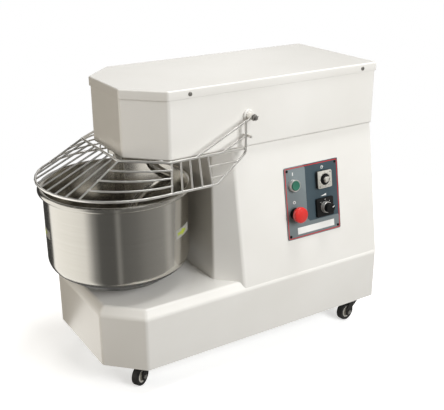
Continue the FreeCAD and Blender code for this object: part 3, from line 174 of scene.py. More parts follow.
# %% Finishes, one for each slot of the record
FINISHES = {
    "white_paint": finish("warm_white_enamel", (0.80, 0.78, 0.735), (0.84, 0.822, 0.782), (0.20, 0.30),
                          coat=0.5, mottle=5, fine=330, relief=0.05),
    "zinc_plate": finish("zinc_plating", (0.50, 0.50, 0.47), (0.66, 0.66, 0.64), (0.28, 0.45), 1.0,
                         mottle=60, fine=700),
    "chrome_wire": finish("bright_wire", (0.84, 0.82, 0.78), (0.92, 0.90, 0.86), (0.26, 0.36), 0.85,
                          mottle=40, fine=600),
    "steel": finish("turned_steel", (0.42, 0.41, 0.39), (0.56, 0.55, 0.53), (0.22, 0.38), 1.0, mottle=70),
    "cast_iron": finish("machined_casting", (0.10, 0.10, 0.105), (0.17, 0.17, 0.175), (0.45, 0.65), 0.6,
                        mottle=90, fine=800, relief=0.35),
    "motor_grey": finish("motor_enamel", (0.16, 0.18, 0.195), (0.20, 0.22, 0.235), (0.35, 0.5), coat=0.2),
    "belt_rubber": finish("belt_rubber", (0.018, 0.018, 0.018), (0.035, 0.035, 0.034), (0.7, 0.9),
                          relief=0.3),
    "panel_film": finish("slate_film", (0.046, 0.070, 0.084), (0.054, 0.080, 0.096), (0.34, 0.44),
                         fine=1500),
    "black_plastic": finish("black_plastic", (0.006, 0.006, 0.006), (0.012, 0.012, 0.012), (0.34, 0.48),
                            fine=1600, relief=0.12, shine=0.25),
    "grey_plastic": finish("pale_grey_plastic", (0.47, 0.455, 0.405), (0.57, 0.55, 0.50), (0.3, 0.45),
                           fine=1400, relief=0.12),
    "green_plastic": finish("green_button_plastic", (0.024, 0.135, 0.085), (0.03, 0.16, 0.105), (0.3, 0.42),
                            coat=0.2, fine=1500),
    "red_plastic": finish("red_button_plastic", (0.60, 0.022, 0.018), (0.73, 0.034, 0.028), (0.22, 0.36),
                          coat=0.4, fine=1500),
    "tyre": finish("black_tyre", (0.012, 0.012, 0.012), (0.028, 0.027, 0.026), (0.5, 0.75), mottle=120,
                   fine=900, relief=0.4),
}
grey_film = finish("grey_film", (0.185, 0.215, 0.222), (0.20, 0.232, 0.24), (0.34, 0.44), fine=1500)
red_ink = finish("red_ink", (0.50, 0.02, 0.025), (0.60, 0.03, 0.035), (0.35, 0.45), fine=1500)
white_ink = finish("white_ink", (0.78, 0.77, 0.74), (0.86, 0.855, 0.83), (0.35, 0.45), fine=1500)
arrow_ink = finish("yellow_green_ink", (0.33, 0.40, 0.03), (0.42, 0.49, 0.05), (0.35, 0.45), fine=1500)
sticker_film = finish("sticker_film", (0.335, 0.33, 0.305), (0.38, 0.375, 0.345), (0.3, 0.4), fine=1500)
black_zinc = finish("black_zinc", (0.035, 0.034, 0.033), (0.06, 0.058, 0.055), (0.3, 0.45), 0.6, fine=900)
dark_plastic = finish("charcoal_plastic", (0.035, 0.035, 0.036), (0.05, 0.05, 0.05), (0.35, 0.5),
                      fine=1500)
grey_screw = finish("plated_screw", (0.20, 0.193, 0.175), (0.29, 0.28, 0.255), (0.22, 0.34), 0.45,
                    fine=1500)
print("finishes:", ", ".join(sorted(FINISHES)))

# %% [markdown]
# ## Spun stainless
# A bowl is polished while it turns. Fine marks run round it and draw its reflections out into upright
# streaks. The marks could be modelled, but they are far too fine. So the noise is squeezed along Z into
# rings, and the shader's anisotropy, a quarter turn from the tangent round Z, draws out the streaks.

# %% Finish of the bowl
def polished_bowl():
    material = finish("spun_stainless", (0.56, 0.54, 0.495), (0.58, 0.56, 0.515), (0.15, 0.20), 1.0,
                      mottle=30, fine=60, relief=0.005, stretch=(0.05, 0.05, 14))
    shader = material.node_tree.nodes["Principled BSDF"]
    tangent = add_node(material.node_tree, "Tangent", direction_type="RADIAL", axis="Z")
    material.node_tree.links.new(tangent.outputs["Tangent"], shader.inputs["Tangent"])
    shader.inputs["Anisotropic"].default_value = 0.55
    shader.inputs["Anisotropic Rotation"].default_value = 0.25
    return material


FINISHES["stainless"] = polished_bowl()
print("finish of the bowl:", FINISHES["stainless"].name)

# %% [markdown]
# ## Studio: the room
# White machines are photographed in a bright, white room. A white world would also light the machine
# from all sides and flatten it. So the world is white only where the camera or a reflection sees it,
# and a weak warm light for everything else. Light Path tells those rays apart.

# %% Room
ROOM_LIGHT = 0.2


def white_where_seen():
    """White to the camera and in reflections, and a plain soft light for everything else."""
    scene.world = bpy.data.worlds.new("studio")
    scene.world.use_nodes = True
    tree = scene.world.node_tree
    room = tree.nodes["Background"]
    room.inputs["Color"].default_value = (1, 0.93, 0.82, 1)
    room.inputs["Strength"].default_value = ROOM_LIGHT
    seen = add_node(tree, "Background", {"Color": (1, 1, 1, 1), "Strength": 1})
    path = add_node(tree, "LightPath")
    first = add_node(tree, "Math", operation="MAXIMUM")
    second = add_node(tree, "Math", operation="MAXIMUM")
    mix = add_node(tree, "MixShader")
    tree.links.new(path.outputs["Is Camera Ray"], first.inputs[0])
    tree.links.new(path.outputs["Is Glossy Ray"], first.inputs[1])
    tree.links.new(first.outputs[0], second.inputs[0])
    tree.links.new(path.outputs["Is Transmission Ray"], second.inputs[1])
    tree.links.new(second.outputs[0], mix.inputs["Fac"])
    tree.links.new(room.outputs[0], mix.inputs[1])
    tree.links.new(seen.outputs[0], mix.inputs[2])
    tree.links.new(mix.outputs[0], tree.nodes["World Output"].inputs["Surface"])


white_where_seen()
print("room: light of", ROOM_LIGHT)

# %% [markdown]
# ## Studio: the floor
# A studio floor runs into the backdrop without a line. Here it is a pale disc that fades out into the
# white, so it keeps the machine's shadow and shows no horizon. It is hidden from diffuse rays, because
# its light from below would wash out the plinth.

# %% Floor
FLOOR_RADIUS, FADE_START, FADE_END, FLOOR_GLOW = 3.0, 0.45, 1.5, 0.5


def stage_object(bm, name, material):
    mesh = bpy.data.meshes.new(name)
    bm.to_mesh(mesh)
    bm.free()
    mesh.materials.append(material)
    made = bpy.data.objects.new(name, mesh)
    scene.collection.objects.link(made)
    return made


def floor():
    bm = bmesh.new()
    bmesh.ops.create_circle(bm, cap_ends=True, segments=96, radius=FLOOR_RADIUS)
    material = bpy.data.materials.new("pale_floor")
    material.use_nodes = True
    tree = material.node_tree
    shader = tree.nodes["Principled BSDF"]
    shader.inputs["Roughness"].default_value = 0.9
    shader.inputs["Specular IOR Level"].default_value = 0.1
    shader.inputs["Emission Color"].default_value = (1, 1, 1, 1)
    shader.inputs["Emission Strength"].default_value = FLOOR_GLOW
    tint = ramp(tree, grain(tree, 3), [(0.3, (0.88, 0.88, 0.875)), (0.7, (0.91, 0.91, 0.905))])
    tree.links.new(tint, shader.inputs["Base Color"])
    place = add_node(tree, "TexCoord")
    reach = add_node(tree, "VectorMath", operation="LENGTH")
    fade = add_node(tree, "MapRange", {"From Min": FADE_START, "From Max": FADE_END})
    clear = add_node(tree, "BsdfTransparent")
    mix = add_node(tree, "MixShader")
    tree.links.new(place.outputs["Object"], reach.inputs[0])
    tree.links.new(reach.outputs["Value"], fade.inputs["Value"])
    tree.links.new(fade.outputs["Result"], mix.inputs["Fac"])
    tree.links.new(shader.outputs[0], mix.inputs[1])
    tree.links.new(clear.outputs[0], mix.inputs[2])
    tree.links.new(mix.outputs[0], tree.nodes["Material Output"].inputs["Surface"])
    stage_object(bm, "floor", material).visible_diffuse = False


floor()
print("floor: radius", FLOOR_RADIUS, "m")

# %% [markdown]
# ## Studio: the lamps
# Four soft lamps light the machine: a large key on its right, one above, a fill behind its left side and
# a low fill in front. A lamp also shows as a bright square in polished steel. That suits the lamp above,
# which draws the light line along the guard's wires. The other three are hidden from glossy rays.

# %% Lamps
def softbox(name, place, target, size, watts, colour, mirrored=False):
    light = bpy.data.lights.new(name, "AREA")
    light.size, light.energy, light.color = size, watts, colour
    lamp = bpy.data.objects.new(name, light)
    lamp.location = place
    lamp.rotation_euler = (Vector(target) - Vector(place)).to_track_quat("-Z", "Y").to_euler()
    lamp.visible_glossy = mirrored
    scene.collection.objects.link(lamp)


softbox("key_softbox", (2.7, 0.7, 1.6), (0, 0.1, 0.5), 1.6, 76, (0.97, 0.985, 1))
softbox("top_softbox", (0.3, 0.45, 2.9), (0, 0.1, 0.5), 0.9, 43, (0.98, 0.99, 1), mirrored=True)
softbox("back_fill", (-2.5, 1.8, 1.1), (0, 0.1, 0.4), 1.8, 46, (1, 0.98, 0.95))
softbox("low_fill", (-0.5, -2.0, 0.25), (0, -0.3, 0.3), 1.0, 13, (1, 0.93, 0.82))
print("lamps:", len(bpy.data.lights))

# %% [markdown]
# ## Studio: what the steel shows
# Polished steel looks like what stands round it. A ring of glowing cards, seen only in reflections, stands
# round the bowl. Its tones are painted reflections: bright in front and dark where the photographer stands.
# The ring is a circle extruded into a wall, and a colour ramp on a radial gradient gives the cards their
# tones. Dark discs above and below the bowl, also seen only in reflections, keep its inside and its foot
# from shining. The disc above is a painted dark reflection over the bowl's inside. The disc below lies on
# the deck under the bowl and is painted shade: it stands for the deck's shadow where the bowl's foot
# mirrors it.

# %% Reflector ring and dark flags
BOWL_AXIS = joints["bowl_spin"]["pos_m"][1]
RING_RADIUS, RING_HEIGHT, RING_LIFT = 0.75, 1.0, 1 * MM
# The cards glow and show only in reflections, so their tones are painted reflections.
CARD_GLOW = 1.4
CARD_TONES = [  # share of a turn anticlockwise from -X, seen from above, and the card's brightness
    (0.0, 0.04), (0.102, 0.04), (0.113, 1.0), (0.24, 0.9), (0.30, 0.8), (0.335, 0.25), (0.36, 0.09),
    (0.42, 0.085), (0.432, 0.26), (0.446, 0.11), (0.50, 0.14), (0.54, 0.19), (0.62, 0.25), (0.651, 0.42),
    (0.675, 0.26), (0.72, 0.24), (0.78, 0.27), (0.85, 0.42),
]
# flag_above is a painted dark reflection over the bowl; flag_below is painted shade on the deck under it.
FLAGS = {"flag_above": (0.66, 0.95, 0.02), "flag_below": (0.17, 0.2195, 0.12)}  # radius, height and tone


def seen_only_reflected(card):
    for kind in ("camera", "diffuse", "transmission", "volume_scatter", "shadow"):
        setattr(card, "visible_" + kind, False)


def glowing(name, strength):
    """An emission material, its node tree and its emission node."""
    material = bpy.data.materials.new(name)
    material.use_nodes = True
    tree = material.node_tree
    glow = add_node(tree, "Emission", {"Strength": strength})
    tree.links.new(glow.outputs[0], tree.nodes["Material Output"].inputs["Surface"])
    return material, tree, glow


def reflector_ring():
    bm = bmesh.new()
    ring = bmesh.ops.create_circle(bm, cap_ends=True, segments=96, radius=RING_RADIUS)
    rim = list({edge for vert in ring["verts"] for edge in vert.link_edges})
    upper = bmesh.ops.extrude_edge_only(bm, edges=rim)["geom"]
    lifted = [item for item in upper if isinstance(item, bmesh.types.BMVert)]
    bmesh.ops.translate(bm, verts=lifted, vec=(0, 0, RING_HEIGHT))
    material, tree, glow = glowing("reflector_cards", CARD_GLOW)
    place = add_node(tree, "TexCoord")
    sweep_round = add_node(tree, "TexGradient", gradient_type="RADIAL")
    tree.links.new(place.outputs["Object"], sweep_round.inputs["Vector"])
    stops = [(at, (tone, tone * 0.985, tone * 0.95)) for at, tone in CARD_TONES]
    tree.links.new(ramp(tree, sweep_round.outputs["Fac"], stops), glow.inputs["Color"])
    made = stage_object(bm, "reflector_ring", material)
    made.location = (0, BOWL_AXIS, RING_LIFT)
    seen_only_reflected(made)


def dark_flags():
    """Dark discs seen only in reflections: a painted dark reflection above the bowl and painted shade below it."""
    for name, (radius, height, tone) in FLAGS.items():
        bm = bmesh.new()
        bmesh.ops.create_circle(bm, cap_ends=True, segments=64, radius=radius,
                                matrix=Matrix.Translation((0, BOWL_AXIS, height)))
        seen_only_reflected(stage_object(bm, name, glowing(name, tone)[0]))


reflector_ring()
dark_flags()
print("reflectors:", len(CARD_TONES), "card tones and", len(FLAGS), "flags")

# %% [markdown]
# ## From bmesh to a finished piece
# A bmesh is a scratch mesh. When it has its shape, one function turns it into an object, points its faces
# outwards, smooths it up to a fold angle, gives it the finish of its slot and makes it ride on its body.
# Doing this in one place means that no piece can miss a step. A second function adds one scratch mesh to
# another, for pieces that are welded or moulded together.

# %% Piece helpers
SMOOTH_ANGLE = math.radians(40)


def make_piece(bm, name, body, slot, replaces=(), material=None, matrix=None):
    if matrix is not None:
        bm.transform(matrix)
    bmesh.ops.recalc_face_normals(bm, faces=bm.faces)
    mesh = bpy.data.meshes.new(name)
    bm.to_mesh(mesh)
    bm.free()
    mesh.polygons.foreach_set("use_smooth", [True] * len(mesh.polygons))
    mesh.set_sharp_from_angle(angle=SMOOTH_ANGLE)
    mesh.materials.append(material or FINISHES[slot])
    piece = bpy.data.objects.new(name, mesh)
    scene.collection.objects.link(piece)
    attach(piece, body)
    if replaces:
        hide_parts(*replaces)
    return piece


def join(bm, part, matrix=None):
    """Put a finished scratch mesh in its place and add it to another."""
    if matrix is not None:
        part.transform(matrix)
    mesh = bpy.data.meshes.new("part")
    part.to_mesh(mesh)
    part.free()
    bm.from_mesh(mesh)
    bpy.data.meshes.remove(mesh)


print("piece helpers ready")

# %% [markdown]
# ## Shapes that come back
# Most pieces of the machine are turned, cut from plate or bent from bar, so a few functions do the common
# work: a profile spun about Z, an outline extruded into a slab, a prism, a rounded rectangle and an arc.
# Profiles are written in millimetres, as on a workshop drawing, and mm brings them to metres.

# %% Shape helpers
def mm(points):
    return [(x * MM, y * MM) for x, y in points]


def add_spun(bm, profile, matrix=None, steps=64):
    """Spin (radius, height) corners about Z into a solid, then put it in place."""
    part = bmesh.new()
    points = [part.verts.new((radius, 0, height)) for radius, height in profile]
    edges = [part.edges.new(pair) for pair in zip(points, points[1:])]
    bmesh.ops.spin(part, geom=points + edges, cent=(0, 0, 0), axis=(0, 0, 1), angle=2 * math.pi,
                   steps=steps, use_merge=True)
    bmesh.ops.remove_doubles(part, verts=part.verts, dist=1e-6)
    join(bm, part, matrix)


def add_slab(bm, corners, thickness, bevel=0.0, matrix=None, segments=2):
    """Extrude a flat outline along +Z and round its edges."""
    part = bmesh.new()
    face = part.faces.new([part.verts.new((x, y, 0)) for x, y in corners])
    made = bmesh.ops.extrude_face_region(part, geom=[face], use_keep_orig=True)["geom"]
    lifted = [item for item in made if isinstance(item, bmesh.types.BMVert)]
    bmesh.ops.translate(part, verts=lifted, vec=(0, 0, thickness))
    if bevel:
        bmesh.ops.bevel(part, geom=part.edges, offset=bevel, segments=segments, profile=0.5, affect="EDGES",
                        material=-1, clamp_overlap=True)
    join(bm, part, matrix)


def rectangle(width, height, corner=0.0, steps=4):
    """Corners of a rectangle about the origin, rounded where a corner radius is given."""
    if not corner:
        return [(x * width / 2, y * height / 2) for x, y in ((-1, -1), (1, -1), (1, 1), (-1, 1))]
    points = []
    for quarter, (x, y) in enumerate(((-1, -1), (1, -1), (1, 1), (-1, 1))):
        centre_x, centre_y = x * (width / 2 - corner), y * (height / 2 - corner)
        for step in range(steps + 1):
            angle = math.pi / 2 * (quarter + 2 + step / steps)
            points.append((centre_x + corner * math.cos(angle), centre_y + corner * math.sin(angle)))
    return points


def add_prism(bm, sides, radius, low, high, matrix=None):
    part = bmesh.new()
    bmesh.ops.create_cone(part, cap_ends=True, segments=sides, radius1=radius, radius2=radius,
                          depth=high - low, matrix=Matrix.Translation((0, 0, (low + high) / 2)))
    join(bm, part, matrix)


def arc(centre, radius, start, end, steps=6):
    """Points of an arc, with its angles in degrees."""
    angles = [math.radians(start + (end - start) * step / steps) for step in range(steps + 1)]
    return [(centre[0] + radius * math.cos(a), centre[1] + radius * math.sin(a)) for a in angles]


def turned(name, body, slot, profile, spot, replaces=(), steps=64):
    """A piece of one turned profile, given in millimetres."""
    bm = bmesh.new()
    add_spun(bm, mm(profile), spot, steps)
    make_piece(bm, name, body, slot, replaces)


print("shape helpers ready")

# %% [markdown]
# ## Folded sheet casing
# The casing is folded from steel sheet: a plinth with a sloping shoulder, a column that leans inwards and
# a head with two cut corners. All three have the same kind of plan, a rectangle without its front
# corners, so one function draws it at any width. Each shell is then given by its plan at two or three
# heights.

# %% Outlines of the casing
base_low, base_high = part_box("base_shell")
head_low, head_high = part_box("head_shell")
lid_low, lid_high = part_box("top_cover")
column_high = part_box("column_shell")[1]
REAR = base_high.y
SIDE_TOP, SHOULDER_INSET = 198 * MM, 13.5 * MM
COLUMN_FOOT_HALF, COLUMN_HEAD_HALF = 205.7 * MM, 150 * MM
BIG_CORNER = 80 * MM
CORNER_TRIM = 2 - math.sqrt(2)


def plan(half, front, corner):
    right = [(half - corner, front), (half, front + corner), (half, REAR)]
    return right + [(-x, y) for x, y in reversed(right)]


def plan_loop(bm, outline, height):
    verts = [bm.verts.new((x, y, height)) for x, y in outline]
    return [bm.edges.new((verts[index - 1], verts[index])) for index in range(len(verts))]


base_plan = plan(base_high.x, base_low.y, BIG_CORNER)
deck_plan = plan(base_high.x - SHOULDER_INSET, base_low.y + SHOULDER_INSET,
                 BIG_CORNER - SHOULDER_INSET * CORNER_TRIM)
column_foot = plan(COLUMN_FOOT_HALF, -66 * MM, 56 * MM)
column_head = plan(COLUMN_HEAD_HALF, -47 * MM, 37 * MM)
head_plan = plan(head_high.x, head_low.y, BIG_CORNER)
print("outlines of", len(base_plan), "corners each")

# %% [markdown]
# ## Folding the sheet
# A press brake leaves a small radius at each fold, and that soft line of light is what makes painted metal
# look like metal. A cube with bevelled edges would show it too, but no wall where the casing is open. So
# the outlines are bridged, the folds are bevelled, and Solidify thickens the sheet inwards.

# %% Base, column and head
SHEET, FOLD = 2.5 * MM, 5 * MM


def folded_shell(name, node, levels, cap, fold=FOLD, wall=SHEET, open_rear=False):
    """Bridge the outlines, close one end, round the folds and give the sheet its thickness."""
    bm = bmesh.new()
    loops = [plan_loop(bm, outline, height) for outline, height in levels]
    for lower, upper in zip(loops, loops[1:]):
        bmesh.ops.bridge_loops(bm, edges=lower + upper)
    if cap is not None:
        bmesh.ops.contextual_create(bm, geom=loops[cap])
    if open_rear:
        rear = [face for face in bm.faces if all(abs(vert.co.y - REAR) < 1e-6 for vert in face.verts)]
        bmesh.ops.delete(bm, geom=rear, context="FACES")
    bmesh.ops.recalc_face_normals(bm, faces=bm.faces)
    folds = [edge for edge in bm.edges if len(edge.link_faces) == 2 and edge.calc_face_angle() > 0.05]
    bmesh.ops.bevel(bm, geom=folds, offset=fold, segments=5, profile=0.5, affect="EDGES", material=-1,
                    clamp_overlap=True)
    piece = make_piece(bm, name, "machine", "white_paint", [node])
    piece.data.set_sharp_from_angle(angle=math.radians(60))
    wall_maker = piece.modifiers.new("sheet", "SOLIDIFY")
    wall_maker.thickness, wall_maker.offset, wall_maker.use_even_offset = wall, -1, True
    piece.modifiers.new("flat_sides", "WEIGHTED_NORMAL").keep_sharp = True
    print(name, "folded from", len(levels), "outlines")
    return piece


base_levels = [(base_plan, base_low.z), (base_plan, SIDE_TOP), (deck_plan, base_high.z)]
column_levels = [(column_foot, SIDE_TOP), (column_head, column_high.z)]
head_levels = [(head_plan, head_low.z), (head_plan, head_high.z)]
base_casing = folded_shell("base_casing", "base_shell", base_levels, cap=-1)
folded_shell("column_casing", "column_shell", column_levels, cap=None, open_rear=True)
head_casing = folded_shell("head_casing", "head_shell", head_levels, cap=0)

# %% [markdown]
# ## Lid
# The lid is a shallow tray set over the head. Its lip hangs outside the walls, with a gap of a third of a
# millimetre, and that gap draws the thin shadow line below it. Its rear edge hangs over too, so its
# outline is pushed out all round. The function that folds the casing makes it as well, from thinner sheet
# with a tighter fold.

# %% Lid with its hanging lip
LID_SHEET, LID_FOLD = 2 * MM, 3.5 * MM
lid_reach = lid_high.x
lid_plan = plan(lid_reach, lid_low.y, BIG_CORNER)
lid_plan = [(x, lid_high.y if y == REAR else y) for x, y in lid_plan]
lid_levels = [(lid_plan, lid_low.z), (lid_plan, lid_high.z)]
folded_shell("lid", "top_cover", lid_levels, cap=-1, fold=LID_FOLD, wall=LID_SHEET)

# %% [markdown]
# ## Holes in the casing
# Shafts, bearings and the guard's axles pass through the sheet. A hole could be cut by adding loops and
# deleting faces, but a Boolean modifier with a few cylinders does it in one go. Its result is made the
# piece's own mesh, so the cutter can be removed again.

# %% Holes for shafts, bearings and axles
def drill(piece, holes):
    """Cut round holes: each is a centre, a direction, a radius and a length."""
    bm = bmesh.new()
    for centre, way, radius, length in holes:
        turn = Vector(way).to_track_quat("Z", "X").to_matrix().to_4x4()
        add_prism(bm, 48, radius, -length / 2, length / 2, Matrix.Translation(centre) @ turn)
    mesh = bpy.data.meshes.new("cutter")
    bm.to_mesh(mesh)
    bm.free()
    cutter = bpy.data.objects.new("cutter", mesh)
    scene.collection.objects.link(cutter)
    modifier = piece.modifiers.new("holes", "BOOLEAN")
    modifier.operation, modifier.object, modifier.solver = "DIFFERENCE", cutter, "EXACT"
    piece.modifiers.move(len(piece.modifiers) - 1, 1)
    drilled = bpy.data.meshes.new_from_object(piece.evaluated_get(bpy.context.evaluated_depsgraph_get()))
    piece.modifiers.clear()
    piece.data = drilled
    bpy.data.objects.remove(cutter)
    print(piece.name, "drilled:", len(holes), "holes")


PIVOT = Vector(joints["guard_hinge"]["pos_m"])
HOOK_AXIS = joints["hook_spin"]["pos_m"][1]
LAYSHAFT_AXIS = joints["layshaft_spin"]["pos_m"][1]
MOTOR_AXIS = joints["motor_spin"]["pos_m"][1]
UP, ACROSS = (0, 0, 1), (1, 0, 0)
THROUGH, PIVOT_HOLE = 30 * MM, 9 * MM
DECK_HOLES = ((BOWL_AXIS, 36.3 * MM), (LAYSHAFT_AXIS, 32 * MM))
HEAD_HOLES = ((HOOK_AXIS, 42.3 * MM), (LAYSHAFT_AXIS, 17.5 * MM), (MOTOR_AXIS, 13.5 * MM))
deck_holes = [((0, y, base_high.z), UP, radius, THROUGH) for y, radius in DECK_HOLES]
head_holes = [((0, y, head_low.z), UP, radius, THROUGH) for y, radius in HEAD_HOLES]
for x in (head_high.x, head_low.x):
    head_holes.append(((x, PIVOT.y, PIVOT.z), ACROSS, PIVOT_HOLE, THROUGH))
drill(base_casing, deck_holes)
drill(head_casing, head_holes)

# %% [markdown]
# ## Screws of the lid and the rear panel
# Button-head screws hold the lid and the rear panel: a low dome with a socket. They could be copies of
# one object, but a finished piece has its place in its mesh. So one profile is spun once for each place,
# and all of them are one piece.

# %% Button-head screws
SCREW_HEAD = mm([(0, 1.2), (1.6, 1.2), (1.6, 2.6), (2.4, 2.8), (3.8, 2.2), (4.7, 1), (5, 0), (0, 0)])
LID_SCREW_Y, LID_SCREW_DROP = (-126 * MM, 366 * MM), 12 * MM
REAR_LIP = 16 * MM
LEAN = (COLUMN_FOOT_HALF - COLUMN_HEAD_HALF) / (column_high.z - SIDE_TOP)


def facing(spot, way):
    """Place a piece drawn along +Z so that it points along way from spot."""
    return Matrix.Translation(spot) @ Vector(way).to_track_quat("Z", "Y").to_matrix().to_4x4()


def column_half(height):
    return COLUMN_FOOT_HALF - LEAN * (height - SIDE_TOP)


def screw_places():
    places = []
    for side in (1, -1):
        for y in LID_SCREW_Y:
            places.append(facing((side * lid_reach, y, lid_high.z - LID_SCREW_DROP), (side, 0, 0)))
        for height in (base_high.z + REAR_LIP, column_high.z - REAR_LIP):
            x = column_half(height) - (REAR_LIP + SHEET) / 2
            places.append(facing((side * x, REAR, height), (0, 1, 0)))
    return places


bm = bmesh.new()
for spot in screw_places():
    add_spun(bm, SCREW_HEAD, spot, steps=24)
make_piece(bm, "cover_screw_heads", "machine", "steel", ["cover_screws"], grey_screw)
print("screws:", len(screw_places()))

# %% [markdown]
# ## Control plate
# The plate is screwed to the leaning side of the column. Modelling on a slope is awkward, so everything
# on the plate is modelled flat, with x along it, y up it and z out of it, and one matrix carries it to
# its place. The way out of the plate is read from the start button's joint, so the two can't differ.

# %% Plate
OUT = -Vector(joints["start_press"]["axis"])
ALONG = Vector((0, 1, 0))
UPHILL = OUT.cross(ALONG)
PANEL_CENTRE_Y, PANEL_CENTRE_Z = 211 * MM, 380 * MM
PANEL_WIDTH, PANEL_HEIGHT, PANEL_THICK = 168 * MM, 184 * MM, 2 * MM
panel_spot = Vector((column_half(PANEL_CENTRE_Z), PANEL_CENTRE_Y, PANEL_CENTRE_Z))
PANEL = Matrix.Translation(panel_spot) @ Matrix((ALONG, UPHILL, OUT)).transposed().to_4x4()
PLATE_CORNER, PLATE_EDGE = 5 * MM, 0.5 * MM


def on_panel(u, v, out=PANEL_THICK):
    return PANEL @ Matrix.Translation((u, v, out))


bm = bmesh.new()
add_slab(bm, rectangle(PANEL_WIDTH, PANEL_HEIGHT, PLATE_CORNER), PANEL_THICK, PLATE_EDGE, PANEL)
make_piece(bm, "control_plate", "machine", "panel_film", ["panel_plate"], grey_film)
print("plate: %.0f by %.0f mm" % (PANEL_WIDTH / MM, PANEL_HEIGHT / MM))

# %% [markdown]
# ## Print on the plate
# The film has a slate field on its grey, a red line round both and a bare pale patch. Print could be a
# picture on the plate, but a picture blurs from close by. So each field is a very thin slab of its own
# ink, lifted by its layer so that no two prints lie in one plane.

# %% Printed fields
PRINT = 0.12 * MM


def print_field(name, corners, material, layer, matrix=None):
    """A thin printed area, lifted by its layer so that no two prints share a plane."""
    bm = bmesh.new()
    lift = Matrix.Translation((0, 0, PANEL_THICK + PRINT * layer))
    add_slab(bm, corners, PRINT, 0, PANEL @ lift @ (matrix or Matrix()))
    return make_piece(bm, name, "machine", "panel_film", material=material)


def frame_field(name, width, height, line, material, layer):
    """A printed line round a rectangle: two outlines bridged into a frame, then lifted."""
    bm = bmesh.new()
    outer = plan_loop(bm, rectangle(width, height, 2 * line), 0)
    inner = plan_loop(bm, rectangle(width - 2 * line, height - 2 * line, line), 0)
    faces = bmesh.ops.bridge_loops(bm, edges=outer + inner)["faces"]
    made = bmesh.ops.extrude_face_region(bm, geom=faces, use_keep_orig=True)["geom"]
    lifted = [item for item in made if isinstance(item, bmesh.types.BMVert)]
    bmesh.ops.translate(bm, verts=lifted, vec=(0, 0, PRINT))
    make_piece(bm, name, "machine", "panel_film", material=material,
               matrix=on_panel(0, 0, PANEL_THICK + PRINT * layer))


EDGE = 0.6 * MM
SLATE_LEFT, SLATE_LOW, SLATE_CUT = -20 * MM, -54 * MM, 7 * MM
SLATE_RIGHT, SLATE_HIGH = PANEL_WIDTH / 2 - EDGE, PANEL_HEIGHT / 2 - EDGE
slate = [(SLATE_LEFT + SLATE_CUT, SLATE_LOW), (SLATE_RIGHT - SLATE_CUT, SLATE_LOW),
         (SLATE_RIGHT, SLATE_LOW - SLATE_CUT), (SLATE_RIGHT, SLATE_HIGH),
         (SLATE_LEFT - SLATE_CUT, SLATE_HIGH), (SLATE_LEFT, SLATE_HIGH - SLATE_CUT),
         (SLATE_LEFT, SLATE_LOW + SLATE_CUT)]
print_field("slate_field", slate, FINISHES["panel_film"], 0)
BORDER_INSET, BORDER_LINE = 5 * MM, 2 * MM
frame_field("red_border", PANEL_WIDTH - BORDER_INSET, PANEL_HEIGHT - BORDER_INSET, BORDER_LINE, red_ink, 1)
PATCH_WIDTH, PATCH_HEIGHT, PATCH_U, PATCH_V = 116 * MM, 17 * MM, 5 * MM, -73 * MM
print_field("bare_patch", rectangle(PATCH_WIDTH, PATCH_HEIGHT), white_ink, 1,
            Matrix.Translation((PATCH_U, PATCH_V, 0)))
print("plate printed")

# %% [markdown]
# ## Marks on the plate
# Each device has a plain sign above it: a bar for start, a ring for stop, a clock face for the timer and
# a rising wedge for the speed. They are signs that any machine may have, and need no words. Bars and
# wedges are outlines made into thin slabs, and rings are spun, so that they stay round.

# %% Signs above the devices
LEFT_U, RIGHT_U, TOP_V, LOW_V = -58 * MM, 33 * MM, 46 * MM, -26 * MM
SIGN_RISE, SIGN_LIFT = 28 * MM, 2 * MM
SIGN_HEIGHT, SIGN_LINE = 8 * MM, 1.5 * MM
CLOCK_HANDS = ((3.4, 0), (2.6, -math.pi / 2))
WEDGE = [(-9, -2), (9, -2), (9, 3)]


def ring_field(name, u, v, radius, line):
    bm = bmesh.new()
    inner, low, high = radius - line, PANEL_THICK + PRINT, PANEL_THICK + PRINT * 2
    ring = [(inner, low), (radius, low), (radius, high), (inner, high), (inner, low)]
    add_spun(bm, ring, PANEL @ Matrix.Translation((u, v, 0)), steps=40)
    make_piece(bm, name, "machine", "panel_film", material=white_ink)


def mark(name, corners, u, v, angle=0.0):
    spot = Matrix.Translation((u, v, 0)) @ Matrix.Rotation(angle, 4, "Z")
    print_field(name, corners, white_ink, 1, spot)


mark("start_sign", rectangle(SIGN_LINE * 1.6, SIGN_HEIGHT), LEFT_U, TOP_V + SIGN_RISE)
ring_field("stop_sign", LEFT_U, LOW_V + SIGN_RISE, SIGN_HEIGHT / 2, SIGN_LINE)
clock_v = TOP_V + SIGN_RISE + SIGN_LIFT
ring_field("timer_sign_ring", RIGHT_U, clock_v, SIGN_HEIGHT / 2, SIGN_LINE * 0.7)
for index, (length, angle) in enumerate(CLOCK_HANDS):
    hand = mm([(-0.5, -0.5), (0.5, -0.5), (0.5, length), (-0.5, length)])
    mark("timer_sign_hand_%d" % index, hand, RIGHT_U, clock_v, angle)
mark("speed_sign", mm(WEDGE), RIGHT_U, LOW_V + SIGN_RISE + SIGN_LIFT)
print("signs: start, stop, timer and speed")

# %% [markdown]
# ## Start and stop buttons
# The start button is a flat green cap in a turned chrome bezel. The stop button is a red mushroom on a
# dark collar. Both are spun profiles, with arcs where the real edges are rounded. The caps ride on their
# own bodies, so they sink when they are pressed, and the bezel and collar stay.

# %% Push buttons
BEZEL = [(12, 1.2), (12.9, 0), (15, 0), (15, 3), (14.4, 3.5), (14.4, 4.2), (15, 4.7)]
BEZEL += arc((13.6, 9.6), 1.4, 0, 110) + [(12, 10.2), (12, 1.2)]
CAP = [(0, 3.2), (5, 3.2), (5, 5), (11.6, 5)] + arc((10.6, 12), 1, 0, 90) + [(9.4, 12.7), (0, 12.5)]
start_spot = on_panel(LEFT_U, TOP_V)
turned("start_bezel_ring", "machine", "chrome_wire", BEZEL, start_spot, ["start_bezel"])
turned("start_cap", "start_button", "green_plastic", CAP, start_spot, ["start_button"])

